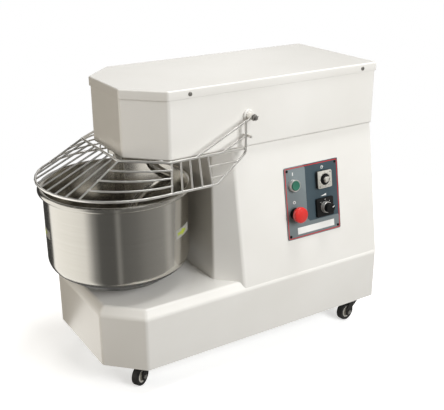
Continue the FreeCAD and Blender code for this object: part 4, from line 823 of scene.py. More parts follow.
COLLAR = [(6, 0), (14.5, 0), (14.5, 4), (13.4, 4.6), (13.4, 12.2), (12.6, 13), (6, 13), (6, 0)]
MUSHROOM = [(0, 9), (5, 9), (5, 17.5), (17.6, 17.5)] + arc((18.4, 19.1), 1.6, -90, 0)
MUSHROOM += arc((15, 24), 5, 0, 68) + [(10, 30.2), (5, 30.9), (0, 31)]
stop_spot = on_panel(LEFT_U, LOW_V)
turned("stop_collar_ring", "machine", "black_plastic", COLLAR, stop_spot, ["stop_collar"])
turned("stop_mushroom", "stop_button", "red_plastic", MUSHROOM, stop_spot, ["stop_button"])
print("buttons: green start, red stop")

# %% [markdown]
# ## Timer case
# The timer is a bought-in device: a dark square case with ribbed flanks under a pale face. The ribs could
# be a bump in the material, but they show in outline from the side, so each is a small slab. A loop sets
# them along one flank and turns them to the other three.

# %% Timer case with its ribs
TIMER_SIDE, TIMER_BACK, TIMER_TOP = 44 * MM, 8 * MM, 12 * MM
CORE_SIDE, CORE_CORNER = 42 * MM, 3 * MM
RIBS, RIB_DEPTH, RIB_WIDTH, RIB_SINK = 9, 1.6 * MM, 2 * MM, 1 * MM
timer_spot = on_panel(RIGHT_U, TOP_V)
bm = bmesh.new()
add_slab(bm, rectangle(CORE_SIDE, CORE_SIDE, CORE_CORNER), TIMER_BACK, 0, timer_spot)
for rib in range(RIBS):
    offset = (rib - (RIBS - 1) / 2) * TIMER_SIDE / (RIBS + 1)
    along_flank = Matrix.Translation((TIMER_SIDE / 2 - RIB_SINK, offset, 0))
    for quarter in range(4):
        flank = Matrix.Rotation(quarter * math.pi / 2, 4, "Z")
        add_slab(bm, rectangle(RIB_DEPTH, RIB_WIDTH), TIMER_BACK, 0, timer_spot @ flank @ along_flank)
make_piece(bm, "timer_case", "machine", "black_plastic", material=dark_plastic)
print("timer case:", 4 * RIBS, "ribs")

# %% [markdown]
# ## Timer face
# The face carries a raised ring round a dark well, two small screws and twelve marks. The face and its
# ring are one moulding, so they are one piece. A mark is a thin slab, pushed out from the dial's centre
# and then turned, and the speed switch uses the same function.

# %% Timer face, well, screws and marks
FACE_CORNER, FACE_EDGE = 4 * MM, 1 * MM
RAISED_RING = [(14.5, 2.5), (19.5, 2.5), (19.5, 3.4), (18.5, 4), (15.5, 4), (14.5, 3.2), (14.5, 2.5)]
WELL = [(0, 2.9), (14.5, 2.9), (14.5, 3.2), (0, 3.2)]
FACE_SCREW, FACE_SCREW_AT = [(0, 2.8), (1.6, 2.8), (1.6, 3.3), (0, 3.5)], 17 * MM
TICKS, TICK_RADIUS, TICK_LIFT = 12, 17 * MM, 0.05 * MM


def dial_mark(bm, dial, angle, radius, width, length, thickness=PRINT):
    """A short line on a dial that points at its centre."""
    turn = Matrix.Rotation(math.radians(angle), 4, "Z") @ Matrix.Translation((0, radius, 0))
    add_slab(bm, rectangle(width, length), thickness, 0, dial @ turn)


timer_face = on_panel(RIGHT_U, TOP_V, PANEL_THICK + TIMER_BACK)
face_outline = rectangle(TIMER_SIDE, TIMER_SIDE, FACE_CORNER)
bm = bmesh.new()
add_slab(bm, face_outline, TIMER_TOP - TIMER_BACK - FACE_EDGE, FACE_EDGE, timer_face)
add_spun(bm, mm(RAISED_RING), timer_face)
make_piece(bm, "timer_faceplate", "machine", "grey_plastic", ["timer_body"])
turned("timer_well", "machine", "black_plastic", WELL, timer_face)

bm = bmesh.new()
for side in (1, -1):
    spot = timer_face @ Matrix.Translation((side * FACE_SCREW_AT, side * FACE_SCREW_AT, 0))
    add_spun(bm, mm(FACE_SCREW), spot, steps=20)
make_piece(bm, "timer_screws", "machine", "steel", material=black_zinc)

bm = bmesh.new()
timer_dial = on_panel(RIGHT_U, TOP_V, PANEL_THICK + TIMER_TOP + TICK_LIFT)
for tick in range(TICKS):
    dial_mark(bm, timer_dial, 360 * tick / TICKS, TICK_RADIUS, 0.7 * MM, 2.6 * MM)
make_piece(bm, "timer_ticks", "machine", "black_plastic")
print("timer face:", TICKS, "marks")

# %% [markdown]
# ## Timer knob
# The knob has a flat black skirt and a pale grip with a bar across it, which shows the time that is set.
# Skirt and grip are turned profiles, the bar is a rounded slab. All ride on the knob's own body.

# %% Timer knob
TIMER_SKIRT = [(0, 12.4), (11, 12.4), (11, 13.6), (10, 14.4), (0, 14.6)]
TIMER_GRIP = [(0, 14.5), (6.4, 14.5), (6, 19), (5, 20), (0, 20.2)]
GRIP_WIDTH, GRIP_LENGTH, GRIP_CORNER, GRIP_EDGE = 3.4 * MM, 17 * MM, 1.2 * MM, 0.6 * MM
GRIP_FOOT, GRIP_HEIGHT, GRIP_TURN = 14.6 * MM, 6.5 * MM, math.radians(-40)
turned("timer_skirt", "timer_knob", "black_plastic", TIMER_SKIRT, timer_spot, ["timer_knob"], steps=48)
bm = bmesh.new()
add_spun(bm, mm(TIMER_GRIP), timer_spot, steps=40)
grip_spot = on_panel(RIGHT_U, TOP_V, PANEL_THICK + GRIP_FOOT) @ Matrix.Rotation(GRIP_TURN, 4, "Z")
add_slab(bm, rectangle(GRIP_WIDTH, GRIP_LENGTH, GRIP_CORNER), GRIP_HEIGHT, GRIP_EDGE, grip_spot)
make_piece(bm, "timer_grip", "timer_knob", "grey_plastic")
print("timer knob: skirt and grip")

# %% [markdown]
# ## Speed switch
# The switch is a black plate with a round knob in a bright skirt. A white line on the knob points at one
# of three marks on the plate. The line rides on the knob and the marks stay on the machine, so they are
# separate pieces, although all are printed in the same white.

# %% Speed plate, knob and marks
SPEED_WIDTH, SPEED_HEIGHT, SPEED_THICK = 53 * MM, 48 * MM, 6 * MM
SPEED_CORNER, SPEED_EDGE = 3 * MM, 1 * MM
SPEED_SKIRT = [(0, 6.4), (15, 6.4), (15, 7.4), (14.6, 8), (14, 16), (13, 17), (0, 17)]
SPEED_KNOB = [(0, 16.8), (12.6, 16.8), (12.6, 27)] + arc((11.2, 27.6), 1.4, 0, 90) + [(0, 29)]
KNOB_TOP, POINTER_TURN, POINTER_RADIUS = 29 * MM, -70, 8.4 * MM
SPEED_MARKS, MARK_RADIUS, MARK_LIFT = (-45, 0, 45), 19 * MM, 0.03 * MM
speed_spot = on_panel(RIGHT_U, LOW_V)
bm = bmesh.new()
add_slab(bm, rectangle(SPEED_WIDTH, SPEED_HEIGHT, SPEED_CORNER), SPEED_THICK, SPEED_EDGE, speed_spot)
make_piece(bm, "speed_escutcheon", "machine", "black_plastic", ["speed_plate"])
turned("speed_skirt", "speed_knob", "chrome_wire", SPEED_SKIRT, speed_spot)
turned("speed_grip", "speed_knob", "black_plastic", SPEED_KNOB, speed_spot, ["speed_knob"], steps=48)

bm = bmesh.new()
knob_top = on_panel(RIGHT_U, LOW_V, PANEL_THICK + KNOB_TOP)
dial_mark(bm, knob_top, POINTER_TURN, POINTER_RADIUS, 2 * MM, 6.5 * MM, PRINT * 2)
make_piece(bm, "speed_pointer", "speed_knob", "black_plastic", material=white_ink)
bm = bmesh.new()
speed_dial = on_panel(RIGHT_U, LOW_V, PANEL_THICK + SPEED_THICK + MARK_LIFT)
for angle in SPEED_MARKS:
    dial_mark(bm, speed_dial, angle, MARK_RADIUS, 1 * MM, 3 * MM)
make_piece(bm, "speed_ticks", "machine", "black_plastic", material=white_ink)
print("speed switch:", len(SPEED_MARKS), "marks")

# %% [markdown]
# ## Corner screws of the plate
# Four small black screws hold the plate. They have the shape of the casing's screws, so the same profile
# is used at a smaller scale, and the scale goes into the mesh with the place.

# %% Corner screws
CORNER_INSET, SMALLER = 9 * MM, Matrix.Scale(0.72, 4)
bm = bmesh.new()
for u in (-1, 1):
    for v in (-1, 1):
        spot = on_panel(u * (PANEL_WIDTH / 2 - CORNER_INSET), v * (PANEL_HEIGHT / 2 - CORNER_INSET))
        add_spun(bm, SCREW_HEAD, spot @ SMALLER, steps=24)
make_piece(bm, "plate_screw_heads", "machine", "black_plastic", ["panel_screws"])
print("control plate: devices and screws in place")

# %% [markdown]
# ## Bowl
# The bowl is spun from one stainless disc: a straight wall, a generous corner at its foot and a rim
# rolled over into a bead. Its section is drawn once as a closed outline, inside and outside, with arcs at
# the corners, and spun about the bowl's axis. Close spacing round the turn keeps the long reflections
# straight.

# %% Bowl section, spun
BOWL_RADIUS, BOWL_WALL, BOWL_BOTTOM, BOWL_RIM = 171 * MM, 2 * MM, 253 * MM, 462 * MM
BOWL_CORNER, BEAD = 36 * MM, 6.5 * MM
bead_centre = (BOWL_RADIUS + BEAD - 1.5 * MM, BOWL_RIM - BEAD + 1 * MM)
corner_centre = (BOWL_RADIUS - BOWL_CORNER, BOWL_BOTTOM + BOWL_CORNER)
section = [(0, BOWL_BOTTOM)]
section += arc(corner_centre, BOWL_CORNER, -90, 0, 14)
section += [(BOWL_RADIUS, bead_centre[1] - BEAD * 0.6)]
section += arc(bead_centre, BEAD, 215, 505, 20)
section += [(BOWL_RADIUS - BOWL_WALL, BOWL_RIM - 4 * MM)]
section += arc(corner_centre, BOWL_CORNER - BOWL_WALL, 0, -90, 14)
section += [(0, BOWL_BOTTOM + BOWL_WALL)]
bm = bmesh.new()
add_spun(bm, section, Matrix.Translation((0, BOWL_AXIS, 0)), steps=160)
make_piece(bm, "mixing_bowl", "bowl", "stainless", ["bowl"])
print("bowl spun from", len(section), "points")

# %% [markdown]
# ## Arrows on the bowl
# Two pale stickers show which way the bowl turns. Each is a flat strip, cut into columns and then wrapped
# onto the wall: its x becomes an angle about the bowl's axis. The arrow is a plain one.

# %% Direction stickers
STICKER_WIDTH, STICKER_HEIGHT, STICKER_LEVEL = 66 * MM, 21 * MM, 361 * MM
STICKER_ANGLES, STICKER_COLUMNS, STICKER_THICK = (37, -101), 12, 0.1 * MM


def wrapped(name, corners, lift, material, angle):
    """Lay a flat outline on the bowl's wall, standing off by lift."""
    bm = bmesh.new()
    bm.faces.new([bm.verts.new((x, y, 0)) for x, y in corners])
    for step in range(1, STICKER_COLUMNS):
        cut = (step / STICKER_COLUMNS - 0.5) * STICKER_WIDTH
        whole = list(bm.verts) + list(bm.edges) + list(bm.faces)
        bmesh.ops.bisect_plane(bm, geom=whole, plane_co=(cut, 0, 0), plane_no=(1, 0, 0))
    for vert in bm.verts:
        turn = math.radians(angle) + vert.co.x / BOWL_RADIUS
        reach = BOWL_RADIUS + lift
        vert.co = (reach * math.cos(turn), BOWL_AXIS + reach * math.sin(turn), STICKER_LEVEL + vert.co.y)
    bmesh.ops.recalc_face_normals(bm, faces=bm.faces)
    bmesh.ops.solidify(bm, geom=list(bm.faces), thickness=STICKER_THICK)
    make_piece(bm, name, "bowl", "stainless", material=material)


ARROW = [(-29, -3.4), (-8, -3.4), (-8, -8.6), (18, 0), (-8, 8.6), (-8, 3.4), (-29, 3.4), (-23, 0)]
FILM_LIFT, ARROW_LIFT = 0.15 * MM, 0.3 * MM
film = rectangle(STICKER_WIDTH, STICKER_HEIGHT)
for index, angle in enumerate(STICKER_ANGLES):
    wrapped("sticker_%d" % index, film, FILM_LIFT, sticker_film, angle)
    wrapped("sticker_arrow_%d" % index, mm(ARROW), ARROW_LIFT, arrow_ink, angle)
print("stickers:", len(STICKER_ANGLES))

# %% [markdown]
# ## Spiral hook
# The hook is one thick bar: it leaves its flange, swings out, winds round the axis and draws in at its
# foot. A NURBS curve through a few points of that path, given a round section, is the smoothest way to
# bend such a bar.

# %% Hook bar along its path
HOOK_TOP, HOOK_FOOT, HOOK_SWEEP, HOOK_BAR = 504 * MM, 275 * MM, 54 * MM, 12 * MM
HOOK_TURN, SPREAD_SHARE, GATHER_SHARE, FOOT_SHARE = math.radians(430), 0.26, 0.86, 0.42


def hook_point(share):
    out = 0.5 - 0.5 * math.cos(math.pi * min(share / SPREAD_SHARE, 1))
    gather = max(share - GATHER_SHARE, 0) / (1 - GATHER_SHARE)
    radius = HOOK_SWEEP * out * (1 - (1 - FOOT_SHARE) * gather * gather)
    drop = 1 - (1 - share) ** 1.25
    angle = HOOK_TURN * share
    return Vector((radius * math.cos(angle), HOOK_AXIS + radius * math.sin(angle),
                   HOOK_TOP - (HOOK_TOP - HOOK_FOOT) * drop))


def round_bar(points, radius):
    """Mesh of a round bar along a smooth curve through these control points."""
    curve = bpy.data.curves.new("bar", "CURVE")
    curve.dimensions, curve.bevel_depth, curve.bevel_resolution = "3D", radius, 5
    curve.use_fill_caps, curve.resolution_u = True, 6
    spline = curve.splines.new("NURBS")
    spline.points.add(len(points) - 1)
    for point, place in zip(spline.points, points):
        point.co = (*place, 1)
    spline.order_u, spline.use_endpoint_u = 4, True
    holder = bpy.data.objects.new("bar", curve)
    mesh = bpy.data.meshes.new_from_object(holder)
    bpy.data.objects.remove(holder)
    return mesh


HOOK_POINTS = 36
FLANGE = [(0, 504), (27, 504), (29, 506), (29, 512.5), (27.5, 514), (0, 514)]
hook_path = [hook_point(index / HOOK_POINTS) for index in range(HOOK_POINTS + 1)]
bm = bmesh.new()
bm.from_mesh(round_bar(hook_path, HOOK_BAR))
bmesh.ops.create_uvsphere(bm, u_segments=24, v_segments=14, radius=HOOK_BAR,
                          matrix=Matrix.Translation(hook_point(1)))
add_spun(bm, mm(FLANGE), Matrix.Translation((0, HOOK_AXIS, 0)))
make_piece(bm, "hook_bar", "hook", "stainless", ["spiral_hook"])
print("hook bent through", len(hook_path), "points")

# %% [markdown]
# ## Breaker bar
# A fixed bar hangs from the head beside the hook and keeps the dough from turning with it. It is round,
# with a rounded foot and a flared collar, so one profile spun about its own axis makes it. Its top ends
# where the measured head begins.

# %% Breaker bar, spun
BREAKER_AXIS, COLLAR_RADIUS = -232 * MM, 24 * MM
breaker = [(0, 272)] + arc((3, 281), 9, -90, 0) + [(12, 520)] + arc((17, 529), 5, 180, 90) + [(24, 534)]
breaker = mm(breaker) + [(COLLAR_RADIUS, head_low.z), (0, head_low.z)]
bm = bmesh.new()
add_spun(bm, breaker, Matrix.Translation((0, BREAKER_AXIS, 0)))
make_piece(bm, "dough_breaker", "machine", "stainless", ["breaker_bar"])
print("breaker spun from", len(breaker), "points")

# %% [markdown]
# ## Wire guard
# The guard is welded from bright round wire: an upper hoop round the head's nose, a lower ring over the
# bowl, bars between them and stays to the pivots. A curve with a round section could make each wire. Here
# a circle is carried along instead: straight runs are extruded and bends are spun about the bend's own
# centre, so every bend is a true arc, as it leaves the bending tool.

# %% Wire helpers
WIRE, BAR = 3 * MM, 2.2 * MM
WIRE_SIDES, BEND_STEP = 14, math.radians(9)


def sweep_wire(bm, start, way, moves, radius):
    """Carry a circle along runs and turns, then close its far end."""
    place = Matrix.Translation(start) @ way.to_track_quat("Z", "Y").to_matrix().to_4x4()
    ring = bmesh.ops.create_circle(bm, cap_ends=True, segments=WIRE_SIDES, radius=radius, matrix=place)
    verts = ring["verts"]
    edges = list({edge for vert in verts for edge in vert.link_edges})
    for kind, *facts in moves:
        if kind == "run":
            made = bmesh.ops.extrude_edge_only(bm, edges=edges)["geom"]
            verts = [item for item in made if isinstance(item, bmesh.types.BMVert)]
            bmesh.ops.translate(bm, verts=verts, vec=facts[0])
        else:
            centre, axis, angle = facts
            steps = max(2, round(angle / BEND_STEP))
            made = bmesh.ops.spin(bm, geom=verts + edges, cent=centre, axis=axis, angle=angle, steps=steps)
            verts = [item for item in made["geom_last"] if isinstance(item, bmesh.types.BMVert)]
        ends = set(verts)
        touching = {edge for vert in verts for edge in vert.link_edges}
        edges = [edge for edge in touching if ends.issuperset(edge.verts)]
    bmesh.ops.contextual_create(bm, geom=edges)


def bent_moves(points, bend):
    """Runs and turns through corner points, with one bend radius."""
    moves, at = [], points[0]
    for before, corner, after in zip(points, points[1:], points[2:]):
        arriving, leaving = (corner - before).normalized(), (after - corner).normalized()
        angle = arriving.angle(leaving)
        trim = bend * math.tan(angle / 2)
        axis = arriving.cross(leaving).normalized()
        enter = corner - arriving * trim
        moves += [("run", enter - at), ("turn", enter + axis.cross(arriving) * bend, axis, angle)]
        at = corner + leaving * trim
    return moves + [("run", points[-1] - at)]


print("a bend of 90 degrees has", round(math.pi / 2 / BEND_STEP), "steps")

# %% [markdown]
# ## Bars and weld beads
# Bars are welded between the wires, and a bead of weld stands where they meet. Without it the bar would
# seem to sink into the wire. A small sphere, a little thicker than the bar, is enough for the bead. A
# bent bar is given by three points, and the circle through them gives the centre of its spin.

# %% Bars
BEAD_SHARE = 1.35


def weld(bm, spot, radius):
    bmesh.ops.create_icosphere(bm, subdivisions=2, radius=radius, matrix=Matrix.Translation(spot))


def straight_bar(bm, start, end, radius=BAR):
    """A bar with a weld bead at each end."""
    sweep_wire(bm, start, end - start, [("run", end - start)], radius)
    for spot in (start, end):
        weld(bm, spot, radius * BEAD_SHARE)


def arc_bar(bm, start, middle, end, radius=BAR):
    """A bar bent to the circle through three points."""
    one, two = middle - start, end - start
    axis = one.cross(two)
    centre = start + (axis.cross(one) * two.length_squared + two.cross(axis) * one.length_squared) / (
        2 * axis.length_squared)
    axis.normalize()
    angle = (start - centre).angle(middle - centre) + (middle - centre).angle(end - centre)
    sweep_wire(bm, start, axis.cross(start - centre), [("turn", centre, axis, angle)], radius)
    for spot in (start, end):
        weld(bm, spot, radius * BEAD_SHARE)


print("bar helpers ready")

# %% [markdown]
# ## Where the wires go
# Every wire is given by its corner points, and only for the right half, because the guard is the same on
# both sides. Points could be typed as coordinates, but then one change would have to be made in many
# places. So they are worked out from a few levels, widths and lengths of the guard.

# %% Corner points of the guard
HOOP_FRONT, HOOP_SIDE, HOOP_HALF, HOOP_CORNER_Y = -278 * MM, 176 * MM, 102 * MM, -190 * MM
HOOP_LEVEL, BEND = 547 * MM, 16 * MM
RING_CENTRE, RING_R, RING_END = Vector((0, -230 * MM, 482 * MM)), 195 * MM, -80 * MM
POST_Y, POST_FOOT, BRACE_Z, BRACE_Y, STAY_Y = 9 * MM, 537 * MM, 576 * MM, -55 * MM, -124 * MM
SIDE_FIRST, SIDE_PITCH, SIDE_BARS, SIDE_RAKE = -185 * MM, 23 * MM, 5, 11 * MM
CORNER_ANGLE, CORNER_ARC_ANGLE, CORNER_ARCS, FRONT_BARS = math.radians(-52), math.radians(-28), 3, 7
RUNGS = (0.38, 0.76)
EYE_RADIUS, EYE_LENGTH, EYE_BORE, EYE_START = 8 * MM, 21 * MM, 5.1 * MM, 162.3 * MM
STOP_PIN, STOP_REACH = 3 * MM, 15 * MM


def flip(point):
    return Vector((-point.x, point.y, point.z))


def on_ring(angle):
    return RING_CENTRE + Vector((math.cos(angle), math.sin(angle), 0)) * RING_R


hoop_corner = Vector((HOOP_HALF, HOOP_FRONT, HOOP_LEVEL))
hoop_side = Vector((HOOP_SIDE, HOOP_CORNER_Y, HOOP_LEVEL))
hoop_end = Vector((HOOP_SIDE, POST_Y - 2 * WIRE, HOOP_LEVEL))
run_end = Vector((RING_R, RING_END, RING_CENTRE.z))
post_foot = Vector((HOOP_SIDE, POST_Y, POST_FOOT))
pivot_eye = Vector((HOOP_SIDE, PIVOT.y, PIVOT.z))
stay_end = Vector((HOOP_SIDE, STAY_Y, HOOP_LEVEL))
stay_share = (pivot_eye.y - POST_Y) / (pivot_eye.y - STAY_Y)
post_top = pivot_eye.lerp(stay_end, stay_share)
print("guard: half width %.0f mm" % (RING_R / MM))

# %% [markdown]
# ## The guard's bars
# The bars keep hands out of the bowl. At the sides they stand upright. In front they fan out, wider apart
# at the ring than at the hoop, and at each front corner three bars bulge out as arcs. Each straight bar
# is a pair of ends, so that its mirror image on the left is easy to make.

# %% Ends of the bars
def front_bar(x):
    """A bar from the hoop's front to the ring, where the bars stand wider apart."""
    reach = x * math.cos(CORNER_ANGLE) / HOOP_HALF
    return Vector((x, HOOP_FRONT, HOOP_LEVEL)), on_ring(-math.acos(reach))


def guard_bars():
    """Bars of the right half, as pairs of ends; the left half mirrors them."""
    bars = []
    for index in range(SIDE_BARS):
        y = SIDE_FIRST + SIDE_PITCH * index
        rake = SIDE_RAKE * (1 - index / (SIDE_BARS - 1))
        bars.append((Vector((HOOP_SIDE, y, HOOP_LEVEL)), Vector((RING_R, y - rake, RING_CENTRE.z))))
    bars.append((hoop_corner, on_ring(CORNER_ANGLE)))
    for index in range(1, FRONT_BARS // 2 + 1):
        bars.append(front_bar(2 * HOOP_HALF / (FRONT_BARS + 1) * index))
    bars.append((pivot_eye + (stay_end - pivot_eye).normalized() * EYE_RADIUS, stay_end))
    bars.append((Vector((HOOP_SIDE, POST_Y, BRACE_Z)), Vector((HOOP_SIDE, BRACE_Y, HOOP_LEVEL))))
    top, foot = bars[SIDE_BARS - 1]
    for share in RUNGS:
        start = top.lerp(foot, share)
        climb = (start.z - run_end.z) / (post_foot.z - run_end.z)
        bars.append((start, run_end.lerp(post_foot, climb)))
    return bars


def corner_arcs():
    first_top = Vector((HOOP_SIDE, SIDE_FIRST, HOOP_LEVEL))
    first_foot = Vector((RING_R, SIDE_FIRST - SIDE_RAKE, RING_CENTRE.z))
    inner, outer = hoop_corner.lerp(hoop_side, 0.5), on_ring(CORNER_ARC_ANGLE)
    for index in range(1, CORNER_ARCS + 1):
        share = index / (CORNER_ARCS + 1)
        yield (hoop_corner.lerp(on_ring(CORNER_ANGLE), share), inner.lerp(outer, share),
               first_top.lerp(first_foot, share))


print("guard:", 2 * len(guard_bars()) + 1, "straight bars and", 2 * CORNER_ARCS, "arcs")

# %% [markdown]
# ## Guard, wire by wire
# The hoop and the ring are bent first, each in one sweep from the left end to the right one. Then the
# bars are welded on, each with its mirror image. Turned eyes at the ends take the axle, and a short stop
# pin stands on each side. All of it is one welded frame, so it is one piece on one body.

# %% Guard swept and joined
EYE_EDGE, PIN_EDGE, PIN_TIP, WIRE_BEAD = 1 * MM, 0.8 * MM, 1.5 * MM, 1.3 * WIRE
bm = bmesh.new()
half_hoop = [hoop_corner, hoop_side, hoop_end]
hoop = [flip(point) for point in reversed(half_hoop)] + half_hoop
sweep_wire(bm, hoop[0], hoop[1] - hoop[0], bent_moves(hoop, BEND), WIRE)
half_ring = [on_ring(0), run_end, post_foot, post_top]
left = [flip(point) for point in reversed(half_ring)]
round_front = [("turn", RING_CENTRE, Vector(UP), math.pi)]
ring_moves = bent_moves(left, BEND) + round_front + bent_moves(half_ring, BEND)
sweep_wire(bm, left[0], left[1] - left[0], ring_moves, WIRE)
for start, end in guard_bars():
    straight_bar(bm, start, end)
    straight_bar(bm, flip(start), flip(end))
straight_bar(bm, *front_bar(0))
for points in corner_arcs():
    arc_bar(bm, *points)
    arc_bar(bm, *[flip(point) for point in points])
eye = [(EYE_BORE, 0), (EYE_RADIUS - EYE_EDGE, 0), (EYE_RADIUS, EYE_EDGE),
       (EYE_RADIUS, EYE_LENGTH - EYE_EDGE), (EYE_RADIUS - EYE_EDGE, EYE_LENGTH),
       (EYE_BORE, EYE_LENGTH), (EYE_BORE, 0)]
length = 2 * STOP_REACH - WIRE
pin = [(0, 0), (STOP_PIN - PIN_EDGE, 0), (STOP_PIN, PIN_EDGE), (STOP_PIN, length - PIN_TIP),
       (STOP_PIN - PIN_TIP, length), (0, length)]
for side in (1, -1):
    way = (side, 0, 0)
    add_spun(bm, eye, facing((side * EYE_START, PIVOT.y, PIVOT.z), way), steps=32)
    weld(bm, Vector((side * post_top.x, post_top.y, post_top.z)), WIRE_BEAD)
    weld(bm, Vector((side * hoop_end.x, hoop_end.y + WIRE, hoop_end.z)), WIRE_BEAD)
    pin_start = (side * (HOOP_SIDE - STOP_REACH + WIRE), POST_Y + 2 * WIRE, BRACE_Z)
    add_spun(bm, pin, facing(pin_start, way), steps=20)
guard = make_piece(bm, "wire_guard", "guard", "chrome_wire", ["guard_frame"])
print("guard:", len(guard.data.polygons), "faces")

# %% [markdown]
# ## Guard pivots
# On each side of the head a painted boss carries a bush. The guard's eye turns on the axle outside it,
# and a slotted nut with a split pin keeps it there. Bosses and nuts are turned profiles, with a prism for
# the flats. The bosses belong to the machine and the nuts turn with the guard, so they are two pieces.

# %% Bosses, nuts and split pins
BOSS = mm([(5.2, -6), (9, -6), (9, 0), (14, 0), (14, 2.4), (12.6, 4), (5.2, 4), (5.2, -6)])
bm = bmesh.new()
for side in (1, -1):
    add_spun(bm, BOSS, facing((side * head_high.x, PIVOT.y, PIVOT.z), (side, 0, 0)), steps=40)
make_piece(bm, "guard_bosses", "machine", "white_paint", ["guard_bushes"])

NUT_START = EYE_START + EYE_LENGTH
NUT = mm([(0, 0), (7.5, 0), (7.5, 0.8), (6.2, 1), (6.2, 1.4), (0, 1.4)])
TIP = mm([(0, 6), (4, 6), (4, 10), (3, 11), (0, 11)])
HEX_RADIUS, HEX_LOW, HEX_HIGH = 6.4 * MM, 1.4 * MM, 7 * MM
SPLIT_PIN, SPLIT_PIN_OUT = 0.9 * MM, 8.8 * MM
bm = bmesh.new()
for side in (1, -1):
    spot = facing((side * NUT_START, PIVOT.y, PIVOT.z), (side, 0, 0))
    add_spun(bm, NUT, spot, steps=32)
    add_prism(bm, 6, HEX_RADIUS, HEX_LOW, HEX_HIGH, spot)
    add_spun(bm, TIP, spot, steps=24)
    centre = Vector((side * (NUT_START + SPLIT_PIN_OUT), PIVOT.y, PIVOT.z))
    leg = Vector((side * 1 * MM, 5 * MM, 4 * MM))
    sweep_wire(bm, centre - leg, leg, [("run", leg * 2)], SPLIT_PIN)
make_piece(bm, "pivot_nuts", "guard", "steel", ["guard_nuts"])
print("pivots on both sides")

# %% [markdown]
# ## Casters
# Each caster has a black tyre on a grey hub, a pressed fork and a through bolt. They are modelled once
# about the swivel axis and carried to each corner by its joints: the swivel gives the place, the wheel's
# axle gives the turn.

# %% Caster wheels, forks and bolts
TRAIL, WHEEL_R = 21 * MM, 25 * MM
TYRE = [(16.5, -7.4), (19, -9), (22.6, -9)] + arc((22, -6), 3, -70, 0)
TYRE += arc((22, 6), 3, 0, 70) + [(22.6, 9), (19, 9), (16.5, 7.4), (16.5, -7.4)]
HALF_HUB = [(4.1, -10.4), (7.5, -10.4), (8, -9.6), (8.6, -5.2), (13, -5.2), (14, -7.6), (16.5, -7.6)]
HUB = HALF_HUB + [(radius, -height) for radius, height in reversed(HALF_HUB)] + HALF_HUB[:1]
FORK_GAP, FORK_SHEET, FORK_EDGE = 11 * MM, 3 * MM, 0.7 * MM
CHEEK = [(-15, 57), (15, 57), (12, 47), (-11, 31), (-13.5, 17.5), (-17, 15), (-25, 15), (-29, 17.5),
         (-31, 27), (-29, 33)]
CROWN = [(0, 52.5), (13, 52.5), (17, 54), (19, 57), (19, 61.5), (18, 62.5), (5, 62.5), (5, 66), (0, 66)]
BOLT, BOLT_HEAD, BOLT_HEAD_HEIGHT = 4 * MM, 6.6 * MM, 3.6 * MM
BOLT_TIP = [(0, 3.4), (4, 3.4), (3.4, 4), (0, 4)]
ALONG_AXLE = Matrix.Rotation(math.pi / 2, 4, "Y")
IN_CHEEK = Matrix((ALONG, UP, ACROSS)).transposed().to_4x4()


def caster_fork(corner, seat):
    bm = bmesh.new()
    add_spun(bm, mm(CROWN), seat, steps=40)
    for low in (FORK_GAP, -FORK_GAP - FORK_SHEET):
        cheek = seat @ Matrix.Translation((low, 0, 0)) @ IN_CHEEK
        add_slab(bm, mm(CHEEK), FORK_SHEET, FORK_EDGE, cheek)
    body, node = "fork_" + corner, "caster_fork_" + corner
    make_piece(bm, "fork_" + corner, body, "zinc_plate", [node], black_zinc)


def axle_bolt(corner, hub_spot):
    bm = bmesh.new()
    reach = FORK_GAP + FORK_SHEET
    add_prism(bm, 24, BOLT, -reach, reach, hub_spot)
    for turn in (0, math.pi):
        end = hub_spot @ Matrix.Rotation(turn, 4, "X")
        add_prism(bm, 6, BOLT_HEAD, reach, reach + BOLT_HEAD_HEIGHT, end)
        add_spun(bm, mm(BOLT_TIP), end @ Matrix.Translation((0, 0, reach)), steps=24)
    make_piece(bm, "axle_bolt_" + corner, "fork_" + corner, "steel", ["caster_axle_" + corner])


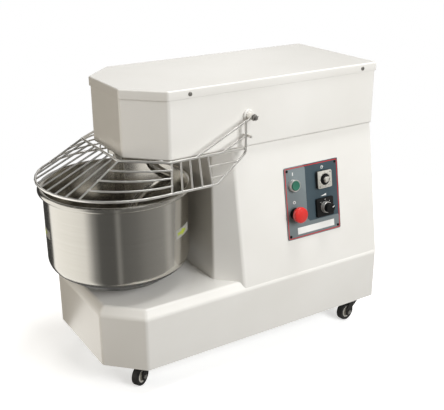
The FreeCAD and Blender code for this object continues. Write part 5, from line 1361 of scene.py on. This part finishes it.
def caster(corner):
    swivel, axle = joints["swivel_" + corner], joints["roll_" + corner]["axis"]
    seat = Matrix.Translation((swivel["pos_m"][0], swivel["pos_m"][1], 0))
    seat = seat @ Matrix.Rotation(math.atan2(axle[1], axle[0]), 4, "Z")
    hub_spot = seat @ Matrix.Translation((0, -TRAIL, WHEEL_R)) @ ALONG_AXLE
    body, node = "wheel_" + corner, "caster_wheel_" + corner
    turned("tyre_" + corner, body, "tyre", TYRE, hub_spot, [node], steps=56)
    turned("hub_" + corner, body, "grey_plastic", HUB, hub_spot, steps=48)
    caster_fork(corner, seat)
    axle_bolt(corner, hub_spot)


for corner in CORNERS:
    caster(corner)
print("casters:", ", ".join(CORNERS))

# %% [markdown]
# ## Cable gland
# The mains lead would enter at the rear through a plastic gland: a body and a ribbed cap nut round an
# open bore. Body and nut are one spun profile. The ribs that give a grip can't be spun, so they are small
# bevelled slabs, set round the nut by a loop.

# %% Gland at the rear
gland_low, gland_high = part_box("cable_gland")
gland_centre = (gland_low + gland_high) / 2
gland_spot = facing((gland_centre.x, REAR, gland_centre.z), (0, 1, 0))
GLAND = [(4.5, -12), (8, -12), (8, 0), (12, 0), (12, 4), (10.6, 4.6), (10.6, 10), (9, 14), (7, 16),
         (4.5, 16), (4.5, -12)]
CAP_RIBS, CAP_RIB_LENGTH, CAP_RIB_EDGE = 18, 5.5 * MM, 0.3 * MM
cap_rib = rectangle(1.2 * MM, 1.6 * MM)
rib_foot = Matrix.Translation((10.6 * MM, 0, 5 * MM))
bm = bmesh.new()
add_spun(bm, mm(GLAND), gland_spot, steps=48)
for rib in range(CAP_RIBS):
    spot = gland_spot @ Matrix.Rotation(2 * math.pi * rib / CAP_RIBS, 4, "Z") @ rib_foot
    add_slab(bm, cap_rib, CAP_RIB_LENGTH, CAP_RIB_EDGE, spot, segments=1)
make_piece(bm, "gland_cap", "machine", "black_plastic", ["cable_gland"])
print("gland at the rear")

# %% [markdown]
# ## Parts that stay as they are
# The rest of the machine keeps its measured mesh: shafts, pulleys, belts, motor and plates. Each takes
# the finish of its slot, so that it looks right through the vents or when the guard is up.

# %% Finish for every measured node
slot_of = {item["node"]: item["material_slot"] for item in frame["record"]["subparts"]}
for node, item in frame["nodes"].items():
    item.data.materials.clear()
    item.data.materials.append(FINISHES[slot_of[node]])
print("finished nodes:", len(frame["nodes"]))
